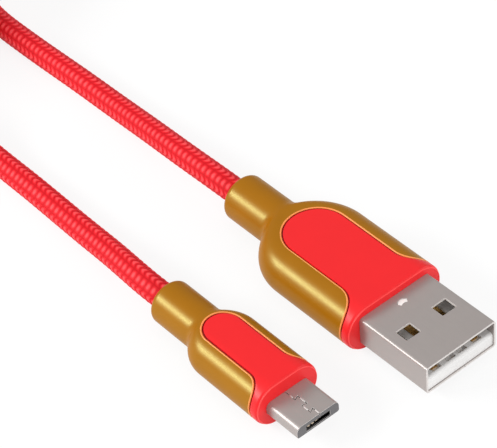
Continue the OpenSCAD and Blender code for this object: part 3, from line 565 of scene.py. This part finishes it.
MICRO_AT = (11.0, -19.6, 3.3)                 # middle of the micro plug's collar, on its front face
PIN_PITCH = 0.65
LEAF_W = 0.36
LEAF_FLOOR = -0.45                            # height of the leaves' flat side over the middle
LEAF_EDGE_R = 0.03
# One leaf seen from the side, with its bump at the tip.
LEAF = [(-0.4, 0), (5.3, 0), (5.38, 0.03), (5.4, 0.08), (5.37, 0.14), (5.28, 0.2), (5.16, 0.23),
        (5, 0.22), (4.8, 0.17), (4.6, 0.15), (-0.4, 0.15)]

points, faces = [], []
n = len(LEAF)
for pin in (-2, -1, 0, 1, 2):
    b = len(points)
    for y in (pin * PIN_PITCH + LEAF_W / 2, pin * PIN_PITCH - LEAF_W / 2):
        points += [(x, y, z + LEAF_FLOOR) for x, z in LEAF]
    faces += [[b + k for k in range(n)][::-1], [b + n + k for k in range(n)]]
    faces += [(b + k, b + n + k, b + n + (k + 1) % n, b + (k + 1) % n)[::-1] for k in range(n)]
springs = close_up(put_mesh("micro_spring_leaves", points, faces, smooth=False), MICRO_AT)


def round_edges(piece, width, steps, sharpest):
    """Rounds the piece's edges where its faces meet at more than sharpest degrees."""
    rounding = piece.modifiers.new("rounding", "BEVEL")
    rounding.width, rounding.segments, rounding.limit_method = width * MM, steps, "ANGLE"
    rounding.angle_limit = math.radians(sharpest)
    return rounding


round_edges(springs, LEAF_EDGE_R, 2, 30)
springs.data.materials.append(metal("leaf_bronze", (0.66, 0.54, 0.4), 0.45, metallic=0.3))
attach(springs, "contact_springs")
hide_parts("micro_contact_springs")

# ---------------------------------------------------------------- latches
# Two sprung strips of hardened steel beside the micro plug's contacts, held at their rear ends.
# The hook at the front end of each comes out through a window in the underside of the shell and
# holds the plug in its socket.

dress(metal("latch_steel", (0.58, 0.56, 0.55), 0.28), "latch_left", "latch_right")

# ---------------------------------------------------------------- A plug's shell
# Nickel-plated steel sheet, stamped and folded into a box whose ends lock in a dovetail seam
# underneath. The socket's springs drop into its windows, the half-moon hole holds the insulator,
# and its rear end is held in the grip.

A_SHELL_W, A_SHELL_H, A_SHELL_R = 12.0, 4.5, 0.45
A_SHEET = 0.3
A_REAR, A_MOUTH = -6.6, 12.1                  # ends of the shell, from the collar's face
A_WINDOW_L, A_WINDOW_W, A_WINDOW_R = 2.1, 2.4, 0.12
A_WINDOW_BACK, A_WINDOW_SIDE = 5.2, 3.1       # from the mouth, and from the middle line
A_SEAM_Y, A_SEAM_W = 0.6, 0.08
A_SEAM_STEPS = [(3.4, 2.9), (5.4, 5.9), (9.4, 8.9), (11.4, 11.9)]    # their ends, from the mouth
A_EDGE_R = 0.075
CLEAR = 4                                     # past the outside of the shell, up or down


def round_rect(half_w, half_h, r, steps=8):
    """Outline of a rectangle with round corners, anticlockwise."""
    return [(sy * (half_w - r) + r * math.cos(t), sz * (half_h - r) + r * math.sin(t))
            for sy, sz, t0 in ((1, 1, 0), (-1, 1, 90), (-1, -1, 180), (1, -1, 270))
            for t in np.radians(np.linspace(t0, t0 + 90, steps + 1))]


def zigzag(mouth, rear, y, steps):
    """Line of a dovetail seam, which crosses the middle line at each step."""
    line = [(mouth + 1, y)]
    for start, end in steps:
        line += [(mouth - start, y), (mouth - end, -y)]
        y = -y
    return line + [(rear - 1, y)]


def seam_slot(line, width, low, high):
    """Prism of the seam's slot along its line."""
    line = np.array(line)
    way = np.diff(line, axis=0)
    way /= np.linalg.norm(way, axis=1)[:, None]
    normal = np.stack([-way[:, 1], way[:, 0]], 1)
    ends = np.vstack([normal[:1], (normal[:-1] + normal[1:]), normal[-1:]])
    ends /= np.linalg.norm(ends, axis=1)[:, None]
    lean = np.r_[1, np.sum(ends[1:-1] * normal[:-1], 1), 1]
    offset = ends * (width / 2 / lean)[:, None]
    outline = np.vstack([line - offset, (line + offset)[::-1]])
    return prism([tuple(p) for p in outline], low, high)


def folded_shell(name, outer, inner, rear, mouth, front_wall, cutters, at, edge_r):
    """Sheet between two outlines, open in front or closed by a wall, with the cutters taken
    out of it and its edges rounded."""
    n = len(outer)
    points, faces = [], []
    for x, outline in ((rear, outer), (mouth, outer), (mouth - front_wall, inner), (rear, inner)):
        points += [(x, y, z) for y, z in outline]
    for ring in range(4):
        nxt = (ring + 1) % 4
        if ring == 1 and front_wall:
            faces += [list(range(n, 2 * n))[::-1], list(range(2 * n, 3 * n))]
        else:
            faces += [(ring * n + k, nxt * n + k, nxt * n + (k + 1) % n, ring * n + (k + 1) % n)
                      for k in range(n)]
    piece = put_mesh(name, points, [f[::-1] for f in faces], smooth=False)
    tools = [put_mesh(f"cutter_{number}", *cutter, smooth=False)
             for number, cutter in enumerate(cutters)]
    for tool in tools:
        cut = piece.modifiers.new("cut", "BOOLEAN")
        cut.operation, cut.solver, cut.object = "DIFFERENCE", "EXACT", tool
    bpy.context.view_layer.update()
    whole = bpy.data.meshes.new_from_object(
        piece.evaluated_get(bpy.context.evaluated_depsgraph_get()))
    piece.modifiers.clear()
    piece.data = whole
    for tool in tools:
        bpy.data.objects.remove(tool)
    close_up(piece, at)
    piece.data.polygons.foreach_set("use_smooth", [True] * len(piece.data.polygons))
    rounding = round_edges(piece, edge_r, 2, 35)
    rounding.harden_normals = True
    # The rounded edges take the shell's second finish, a painted highlight.
    rounding.material = 1
    return piece


def finish_faces(piece, at, finish, chosen):
    """One more finish on the piece, for the faces that chosen picks by their normal and by
    their middle, in mm from the plug's face."""
    piece.data.materials.append(finish)
    for face in piece.data.polygons:
        if chosen(face.normal, (face.center - Vector(at) * MM) / MM):
            face.material_index = len(piece.data.materials) - 1


def a_cut_edge(normal, middle):
    """Faces that get a painted highlight: the mouth's rim, and the walls of the windows and of the
    half-moon hole, but not the shell's own sides."""
    rim = normal.x > 0.9 and middle.x > A_MOUTH - 0.1
    return rim or abs(normal.z) < 0.3 and abs(middle.y) < 5


window = [(A_MOUTH - A_WINDOW_BACK - A_WINDOW_L / 2 + x, y)
          for x, y in round_rect(A_WINDOW_L / 2, A_WINDOW_W / 2, A_WINDOW_R, 4)]
a_cutters = [prism([(x, y + side * A_WINDOW_SIDE) for x, y in window], -CLEAR, CLEAR)
             for side in (-1, 1)]
a_cutters.append(prism([(x + MOON_X, y) for x, y in moon], 0, CLEAR))
a_seam = zigzag(A_MOUTH, A_REAR, A_SEAM_Y, A_SEAM_STEPS)
a_cutters.append(seam_slot(a_seam, A_SEAM_W, -CLEAR, -1.5))
a_shell_piece = folded_shell(
    "a_shell_sheet", round_rect(A_SHELL_W / 2, A_SHELL_H / 2, A_SHELL_R),
    round_rect(A_SHELL_W / 2 - A_SHEET, A_SHELL_H / 2 - A_SHEET, A_SHELL_R - A_SHEET),
    A_REAR, A_MOUTH, 0, a_cutters, A_AT, A_EDGE_R)
shell_nickel = metal("shell_nickel", (0.42, 0.378, 0.36), 0.41, metallic=0.4)
# A lighter copy of the nickel, painted on cut and rounded edges as a highlight.
painted_highlight_edge = metal("painted_highlight_edge", (0.66, 0.62, 0.6), 0.46, metallic=0.15)
a_shell_piece.data.materials.append(shell_nickel)
finish_faces(a_shell_piece, A_AT, painted_highlight_edge, a_cut_edge)
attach(a_shell_piece, "cable")
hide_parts("a_shell")

# ---------------------------------------------------------------- micro plug's shell
# The same nickel-plated sheet, folded with its seam on top and closed in front by a wall with
# the slot for the socket's tongue. Raised ribs along the straight stretches of the seam carry
# a painted highlight.

MICRO_SHELL_W, MICRO_SHELL_H = 6.85, 1.8
MICRO_LOW_R, MICRO_TOP_W, MICRO_TOP_H = 0.3, 0.75, 0.85     # round lower and upper edges
MICRO_SHEET = 0.25
MICRO_REAR, MICRO_MOUTH = -4.2, 5.7
MICRO_SEAM_Y, MICRO_SEAM_W = 0.33, 0.1
MICRO_SEAM_FOOT = 0.6                         # the seam is cut down to here, no further
MICRO_SEAM_STEPS = [(1.3, 1.0), (2.55, 2.4), (4.1, 3.8)]
SLOT_HALF_W, SLOT_HALF_H, SLOT_R = 1.95, 0.44, 0.08
SLOT_Z = -0.2                                 # the slot's middle
LATCH_SIDE, LATCH_HALF_W = 2.55, 0.45         # the hooks' windows
LATCH_FRONT, LATCH_BACK = 1.4, 3.0            # and their ends, from the mouth
MICRO_EDGE_R = 0.05
RIB_R, RIB_TIP_R, RIB_TIP_L = 0.11, 0.03, 0.12
RIBS_END = 5.0                                # where the last rib ends, from the mouth


def micro_outline(inset=0.0):
    """Cross-section of the micro shell: narrow round lower edges, wide round upper edges."""
    w, h, r = MICRO_SHELL_W / 2 - inset, MICRO_SHELL_H / 2, MICRO_LOW_R
    side = [(w - r + r * math.cos(t), -h + inset + r + r * math.sin(t))
            for t in np.radians(np.linspace(-90, 0, 7))]
    side += [(w + inset - MICRO_TOP_W + (MICRO_TOP_W - inset) * math.cos(t),
              h - MICRO_TOP_H + (MICRO_TOP_H - inset) * math.sin(t))
             for t in np.radians(np.linspace(0, 90, 11))]
    return side + [(-y, z) for y, z in side[::-1]]


def strip_faces(rows, wrap=False):
    """Quads between rows of point numbers."""
    faces = []
    for low, high in zip(rows[:-1], rows[1:]):
        last = len(low) if wrap else len(low) - 1
        for k in range(last):
            n = (k + 1) % len(low)
            faces.append((low[k], low[n], high[n], high[k]))
    return faces


def mouth_wall(normal, middle):
    """The outside of the front wall, which is given painted shade."""
    return normal.x > 0.9 and middle.x > MICRO_MOUTH - 0.1


def slot_painted_shade(normal, middle):
    """The inner walls of the slot in the front wall, painted black as shade."""
    in_wall = middle.x > MICRO_MOUTH - MICRO_SHEET
    return in_wall and abs(middle.y) < 2 and abs(middle.z) < 0.7 and abs(normal.x) < 0.3


micro_seam = zigzag(MICRO_MOUTH, MICRO_REAR, MICRO_SEAM_Y, MICRO_SEAM_STEPS)
slot = [(y, z + SLOT_Z) for y, z in round_rect(SLOT_HALF_W, SLOT_HALF_H, SLOT_R, 3)]
micro_cutters = [seam_slot(micro_seam, MICRO_SEAM_W, MICRO_SEAM_FOOT, 2),
                 prism(slot, MICRO_MOUTH - 0.5, MICRO_MOUTH + 0.3, "X")]
for side in (-1, 1):
    near, far = side * LATCH_SIDE - LATCH_HALF_W, side * LATCH_SIDE + LATCH_HALF_W
    micro_cutters.append(prism([(MICRO_MOUTH - LATCH_BACK, near), (MICRO_MOUTH - LATCH_FRONT, near),
                                (MICRO_MOUTH - LATCH_FRONT, far), (MICRO_MOUTH - LATCH_BACK, far)],
                               -2, -0.3))
micro_shell_piece = folded_shell("micro_shell_sheet", micro_outline(), micro_outline(MICRO_SHEET),
                                 MICRO_REAR, MICRO_MOUTH, MICRO_SHEET, micro_cutters, MICRO_AT,
                                 MICRO_EDGE_R)
# A darker copy of the nickel for the front wall: painted shade.
painted_shade_mouth = metal("painted_shade_mouth", (0.135, 0.131, 0.135), 0.4, metallic=0.3)
micro_shell_piece.data.materials.append(shell_nickel)
micro_shell_piece.data.materials.append(painted_highlight_edge)
finish_faces(micro_shell_piece, MICRO_AT, painted_shade_mouth, mouth_wall)
# The slot's steel walls take the black insulator's finish: painted shade.
finish_faces(micro_shell_piece, MICRO_AT, insulator_black, slot_painted_shade)
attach(micro_shell_piece, "cable")
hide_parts("micro_shell")

near, y = 0, MICRO_SEAM_Y
for number, (start, far) in enumerate(MICRO_SEAM_STEPS + [(None, RIBS_END)]):
    x0, x1 = MICRO_MOUTH - near - RIB_TIP_L, MICRO_MOUTH - far + RIB_TIP_L
    points = []
    for x, r in ((x0, RIB_TIP_R), (x0 - RIB_TIP_L, RIB_R), (x1 + RIB_TIP_L, RIB_R),
                 (x1, RIB_TIP_R)):
        points += [(x, y + r * math.cos(t), MICRO_SHELL_H / 2 + 0.5 * r * math.sin(t))
                   for t in np.linspace(0, 2 * math.pi, 9)[:-1]]
    rows = [list(range(k * 8, k * 8 + 8)) for k in range(4)]
    faces = strip_faces(rows, wrap=True) + [rows[0][::-1], rows[3]]
    rib = close_up(put_mesh(f"seam_edge_{number}", points, faces), MICRO_AT)
    # Each rib is coloured with the painted highlight.
    rib.data.materials.append(painted_highlight_edge)
    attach(rib, "cable")
    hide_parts("micro_shell")
    near, y = start, -y

# ---------------------------------------------------------------- inner moulds and crimp rings
# A block of hard white plastic is moulded round the solder joints in each plug, to hold them
# still. Behind it a steel ring is crimped on the cord's jacket and takes the pull of the cord.

mould_white = skinned("mould_white", (0.72, 0.72, 0.68), 0.4, 0.05)
crimp_steel = metal("crimp_steel", (0.52, 0.52, 0.52), 0.32)
dress(mould_white, "a_inner_mould", "micro_inner_mould")
dress(crimp_steel, "a_crimp", "micro_crimp")

# ---------------------------------------------------------------- red grips
# Each plug has a red plastic grip, moulded over its insides. It shows as the collar round the
# shell and as an inlay above and below, flush with the cover and behind a fine groove.

COLLAR_L = 1.15                               # from the collar's face to the cover's nose
FACE_R = 0.45                                 # round edge of the collar's face
NECK_R = 1.9                                  # hollow between the shoulder and the sleeve
END_R = 0.8                                   # the cover's rear end, rolled in to the cord
COVER_SHEET = 0.3
GRIP_WALL, CORE_WALL = 0.5, 0.12
GRIP_EDGE_R = 0.06
EDGE_LINE_R = 0.09                            # a round bar on the collar's round edge, which carries a painted highlight line
CORE_FIT = 0.02                               # between the cover's sheet and the grip in it
SHELL_FIT = 0.02                              # between a shell and its hole in the collar
CORD_HOLE_R = 1.9
RIM_STEP = 0.34                               # between points along an inlay's straight rim
NOSE_POINTS, TIP_POINTS = 16, 34              # on the rim's round stretches
NOSE = math.radians(26)      # from the top, where the cover's front edge turns into the inlay's rim
# Half the width and height of the body, where its straight sides end, the shoulder's radius, the
# sleeve's radius, the whole length from the collar's face, half the inlay's width and where its
# rear tip lies, and the middle of the collar's face.
A_FORM = dict(half_w=8.15, half_h=3.6, straight=14.4, shoulder=7.5, sleeve=3.4, total=30.2,
              inlay_w=4.45, inlay_l=19.0, at=A_AT)
MICRO_FORM = dict(half_w=5.1, half_h=3.3, straight=11.6, shoulder=4.6, sleeve=3.15, total=23.5,
                  inlay_w=2.55, inlay_l=14.4, at=MICRO_AT)


def neck_of(form):
    """How far the shoulder turns, in radians, and where the neck meets the sleeve."""
    turn = math.acos(1 - (form["half_w"] - form["sleeve"]) / (form["shoulder"] + NECK_R))
    return turn, form["straight"] + (form["shoulder"] + NECK_R) * math.sin(turn)


def girth(form, d):
    """Section of the housing, d behind the collar's face: half the width of its flat top, and
    the radius of its round sides, which is half its height."""
    turn, neck = neck_of(form)
    if d <= form["straight"]:
        w, r = form["half_w"], form["half_h"]
    elif d <= form["straight"] + form["shoulder"] * math.sin(turn):
        a = math.asin((d - form["straight"]) / form["shoulder"])
        w, r = form["half_w"] - form["shoulder"] * (1 - math.cos(a)), form["half_h"]
    elif d < neck:
        a = math.asin((neck - d) / NECK_R)
        w = form["sleeve"] + NECK_R * (1 - math.cos(a))
        r = form["half_h"] - (form["half_h"] - form["sleeve"]) * ease(1 - a / turn)
    else:
        past = max(d - form["total"] + END_R, 0)
        w = r = form["sleeve"] - END_R + math.sqrt(max(END_R ** 2 - past ** 2, 0))
    return max(w - r, 0.0), r


def oval_point(flat, r, run, side, inset=0.0):
    """Point of a section, run along it from the top's middle line and then moved inwards."""
    k = r - inset
    if run <= flat:
        y, z = run, k
    elif run >= flat + math.pi * r:
        y, z = 2 * flat + math.pi * r - run, -k
    else:
        a = (run - flat) / r
        y, z = flat + k * math.sin(a), k * math.cos(a)
    return side * y, z


def girth_point(form, d, run, side):
    """Point of the housing's skin, d behind the face and run along the section there."""
    return (-d, *oval_point(*girth(form, d), run, side))


def run_at(form, d, y):
    """How far along the section from the top's middle line the skin is y from the middle."""
    flat, r = girth(form, d)
    return y if y <= flat else flat + r * math.asin(min((y - flat) / r, 1))


def half_run(form, d):
    """From the top's middle line to the underside's, along the section."""
    flat, r = girth(form, d)
    return 2 * flat + math.pi * r


def nose_arc(form, grow):
    """Radius and middle, behind the face, of the arc in which the cover's front edge turns into
    the rim of an inlay that is grown all round."""
    corner = form["half_w"] - form["inlay_w"]
    return corner - grow, COLLAR_L + corner


def nose_reach(form, angle):
    """How far in from the housing's full width its side is, an angle from the top."""
    flat, r = girth(form, 0)
    return form["half_w"] - flat - r * np.sin(angle)


def rim_stations(form, grow):
    """(d, y) places along the inlay's rim, from the nose back to its rear tip."""
    corner, centre = nose_arc(form, grow)
    inlay, rear = form["inlay_w"] + grow, form["inlay_l"] - form["inlay_w"]
    start = math.asin(nose_reach(form, NOSE) / corner)
    places = [(centre - corner * math.cos(t), form["half_w"] - corner * math.sin(t))
              for t in np.linspace(start, math.pi / 2, NOSE_POINTS)]
    count = int((rear - centre) / RIM_STEP)
    places += [(d, inlay) for d in np.linspace(centre, rear, count + 1)[1:]]
    places += [(rear + inlay * math.sin(t), inlay * math.cos(t))
               for t in np.linspace(0, math.pi / 2, TIP_POINTS)[1:-1]]
    return places


def nose_line(form, grow, count):
    """(d, angle) places of the edge that runs down the housing's side between the two rims."""
    corner, centre = nose_arc(form, grow)
    angles = np.linspace(NOSE, math.pi - NOSE, count + 1)
    return centre - np.sqrt(corner ** 2 - nose_reach(form, angles) ** 2), angles


def hole_reach(outline, y, z):
    """Distance from the axis to a shell's outline, in the directions of the points y, z."""
    outline = np.array(outline)
    closed = np.vstack([outline, outline[:1]])
    dense = np.concatenate([np.linspace(a, b, 60, endpoint=False)
                            for a, b in zip(closed[:-1], closed[1:])])
    angle = np.arctan2(dense[:, 1], dense[:, 0])
    order = np.argsort(angle)
    return np.interp(np.arctan2(z, y), angle[order], np.hypot(*dense[order].T),
                     period=2 * math.pi)


def wall_of(piece, thickness):
    """Gives a skin its thickness, inwards."""
    wall = piece.modifiers.new("wall", "SOLIDIFY")
    wall.thickness, wall.offset = thickness * MM, -1


def red_grip(name, form, shell):
    """The grip's outside: a collar round the shell's outline, and a tongue above and below."""
    over, down = 18, 44                       # columns over half the top, and down a side
    nose_d, nose_angle = nose_line(form, 0, down)
    flat, r = girth(form, 0)
    top_run = np.linspace(0, flat + r * NOSE, over + 1)[:-1]

    def section(inset, depth):
        """One closed ring of the collar; depth gives each column its distance from the face."""
        half = [(q, depth[0]) for q in top_run]
        half += [(flat + r * a, depth[k]) for k, a in enumerate(nose_angle)]
        half += [(2 * flat + math.pi * r - q, depth[0]) for q in top_run[::-1]]
        full = [(q, d, 1) for q, d in half] + [(q, d, -1) for q, d in half[::-1][1:-1]]
        return [(-d, *oval_point(flat, r, q, side, inset)) for q, d, side in full]

    level = np.ones(down + 1)
    _, y, z = np.array(section(FACE_R, 0 * level)).T
    reach = hole_reach(shell, y, z) / np.hypot(y, z)
    rings = []
    # Forwards along the hole, and then outwards over the face: 1 is at the hole's edge.
    for d, near_hole in ((1.6, 1.0), (0.5, 1.0), (0.0, 1.0), (0.0, 0.93), (0.0, 0.8),
                         (0.0, 0.55), (0.0, 0.3), (0.0, 0.12)):
        share = (reach - 1) * near_hole + 1
        rings.append([(-d, yy * s, zz * s) for yy, zz, s in zip(y, z, share)])
    painted_highlight_ring = len(rings) + 2              # on the round edge, where the painted highlight line runs
    for t in np.linspace(0, math.pi / 2, 8):
        rings.append(section(FACE_R * (1 - math.sin(t)), FACE_R * (1 - math.cos(t)) * level))
    for share in (0.34, 0.67, 1.0):
        rings.append(section(0, FACE_R + (nose_d - FACE_R) * share))
    edge = round_line(name + "_edge", np.array(rings[painted_highlight_ring]) + form["at"], EDGE_LINE_R, 2,
                      closed=True)
    columns = len(rings[0])
    rows = [list(range(k * columns, (k + 1) * columns)) for k in range(len(rings))]
    points = [point for ring in rings for point in ring]
    faces = strip_faces(rows, wrap=True)
    last, middle = rows[-1], columns // 2
    top = last[columns - over:] + last[:over + 1]
    bottom = last[middle - over:middle + over + 1]
    for root, up in ((top, 1), (bottom, -1)):
        tongue = [root]
        for d, rim_y in rim_stations(form, 0)[1:]:
            end = run_at(form, d, rim_y)
            row = []
            for q in np.linspace(-end, end, 2 * over + 1):
                x, yy, zz = girth_point(form, d, abs(q), 1 if q >= 0 else -1)
                row.append(len(points))
                points.append((x, yy * up, zz * up))
            tongue.append(row)
        faces += strip_faces(tongue)
    piece = close_up(put_mesh(name, points, faces), form["at"])
    wall_of(piece, GRIP_WALL)
    round_edges(piece, GRIP_EDGE_R, 2, 50)
    return piece, edge


def grip_core(name, form):
    """The grip's body right under the cover, ending round the cord inside the sleeve."""
    inset = COVER_SHEET + CORE_FIT
    points, rows = [], []
    stations = [0.7, 1.5, *np.arange(2.5, form["total"] - 0.7, 0.6), form["total"] - 0.6]
    share = np.linspace(0, 1, 41)[:-1]
    for d in stations:
        flat, r = girth(form, min(d, form["total"] - END_R))
        half = 2 * flat + math.pi * (r - inset)
        ring = [(-d, *oval_point(flat, r - inset, s * half, 1)) for s in share]
        ring += [(-d, *oval_point(flat, r - inset, (1 - s) * half, -1)) for s in share]
        rows.append(list(range(len(points), len(points) + len(ring))))
        points += ring
    hole = [(x, y * CORD_HOLE_R / math.hypot(y, z), z * CORD_HOLE_R / math.hypot(y, z))
            for x, y, z in points[rows[-1][0]:]]
    rows.append(list(range(len(points), len(points) + len(hole))))
    points += hole
    piece = close_up(put_mesh(name, points, strip_faces(rows, wrap=True)), form["at"])
    wall_of(piece, CORE_WALL)
    return piece


grip_red = skinned("grip_red", (0.84, 0.016, 0.02), 0.4, 0.03, sockets={"Specular IOR Level": 0.3})
# A lighter red than the grip, painted on the bar along the collar's edge as a highlight.
painted_highlight_grip = skinned("painted_highlight_grip", (1, 0.05, 0.05), 0.4, 0.03)
# The grip's core is the same red made darker: painted shade where it shows in the groove and at the
# sleeve's end.
painted_shade_grip = skinned("painted_shade_grip", (0.42, 0.004, 0.004), 0.6, 0.03)
a_hole = round_rect(A_SHELL_W / 2 + SHELL_FIT, A_SHELL_H / 2 + SHELL_FIT, A_SHELL_R + SHELL_FIT)
for node, form, hole in (("a_grip", A_FORM, a_hole),
                         ("micro_grip", MICRO_FORM, micro_outline(-SHELL_FIT))):
    skin, edge = red_grip(node + "_skin", form, hole)
    core = grip_core(node + "_core", form)
    for piece, finish in ((skin, grip_red), (edge, painted_highlight_grip), (core, painted_shade_grip)):
        piece.data.materials.append(finish)
        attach(piece, "cable")
        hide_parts(node)

# ---------------------------------------------------------------- gold covers
# A thin hard cover with a satin gold lacquer, clipped over each grip from behind. Its front edge
# runs round the inlays and down the sides behind the collar, with a fine raised lip, and its
# rear end is rolled in to the cord.

GROOVE = 0.38                                 # from the inlay to the cover's edge
LIP_R, LIP_SINK = 0.13, 0.1
COVER_EDGE_R = 0.13
NOSE_FADE = 7.5                               # behind this the rings are straight again
RING_STEP = 0.2                               # between rings behind the inlays
NECK_ROOM = 0.3                               # the sleeve's rings start so far behind the neck


def gold_cover(name, form):
    """The cover's sheet, and the lip along its front edge."""
    columns, points, faces, edge = 60, [], [], []
    rim = rim_stations(form, GROOVE)
    nose_d, _ = nose_line(form, GROOVE, columns)
    sleeve = neck_of(form)[1] + NECK_ROOM
    tip, rolled = form["inlay_l"] + GROOVE, form["total"] - END_R
    stations = list(np.linspace(tip, sleeve, int((sleeve - tip) / RING_STEP)))
    stations += list(np.linspace(sleeve, rolled, 14)[1:])
    stations += [rolled + END_R * math.sin(t) for t in np.linspace(0, math.pi / 2 - 0.12, 9)[1:]]
    rings = [(d, run_at(form, d, y)) for d, y in rim] + [(d, 0.0) for d in stations]
    for side in (1, -1):
        rows = []
        for d, start in rings:
            fade = ease((NOSE_FADE - d) / (NOSE_FADE - rings[0][0]))
            runs = np.linspace(start, half_run(form, d) - start, columns + 1)
            rows.append(list(range(len(points), len(points) + columns + 1)))
            points += [girth_point(form, d - (nose_d[0] - nose_d[k]) * fade, run, side)
                       for k, run in enumerate(runs)]
        faces += [f if side > 0 else f[::-1] for f in strip_faces(rows)]
        near = rows[:len(rim) + 1]
        loop = [row[0] for row in near[::-1]] + near[0][1:-1] + [row[-1] for row in near]
        edge += loop[1:] if side > 0 else loop[::-1][1:]
    piece = close_up(put_mesh(name, points, faces), form["at"])
    spots = np.array([points[k] for k in edge])
    spots *= (1, 1 - LIP_SINK / form["half_w"], 1 - LIP_SINK / form["half_h"])
    lip = round_line(name + "_lip", spots + form["at"], LIP_R, 2, closed=True)
    wall_of(piece, COVER_SHEET)
    round_edges(piece, COVER_EDGE_R, 3, 50)
    return piece, lip


# The low index and the strong warm tint keep the satin sheen gold at low angles too.
cover_gold = skinned("cover_gold", (0.362, 0.13, 0.001), 0.33, 0.05, grains=6000, relief=1.5e-6,
                     sockets={"Metallic": 0.04, "IOR": 1.14,
                              "Specular Tint": (9.0, 12.4, 5.6, 1)})
# The lip's bright orange is a painted highlight on the gold cover's edge.
painted_highlight_lip = skinned("painted_highlight_lip", (0.9, 0.31, 0.075), 0.45, 0.05)
for node, form in (("a_cover", A_FORM), ("micro_cover", MICRO_FORM)):
    for piece, finish in zip(gold_cover(node + "_sheet", form), (cover_gold, painted_highlight_lip)):
        piece.data.materials.append(finish)
        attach(piece, "cable")
        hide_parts(node)
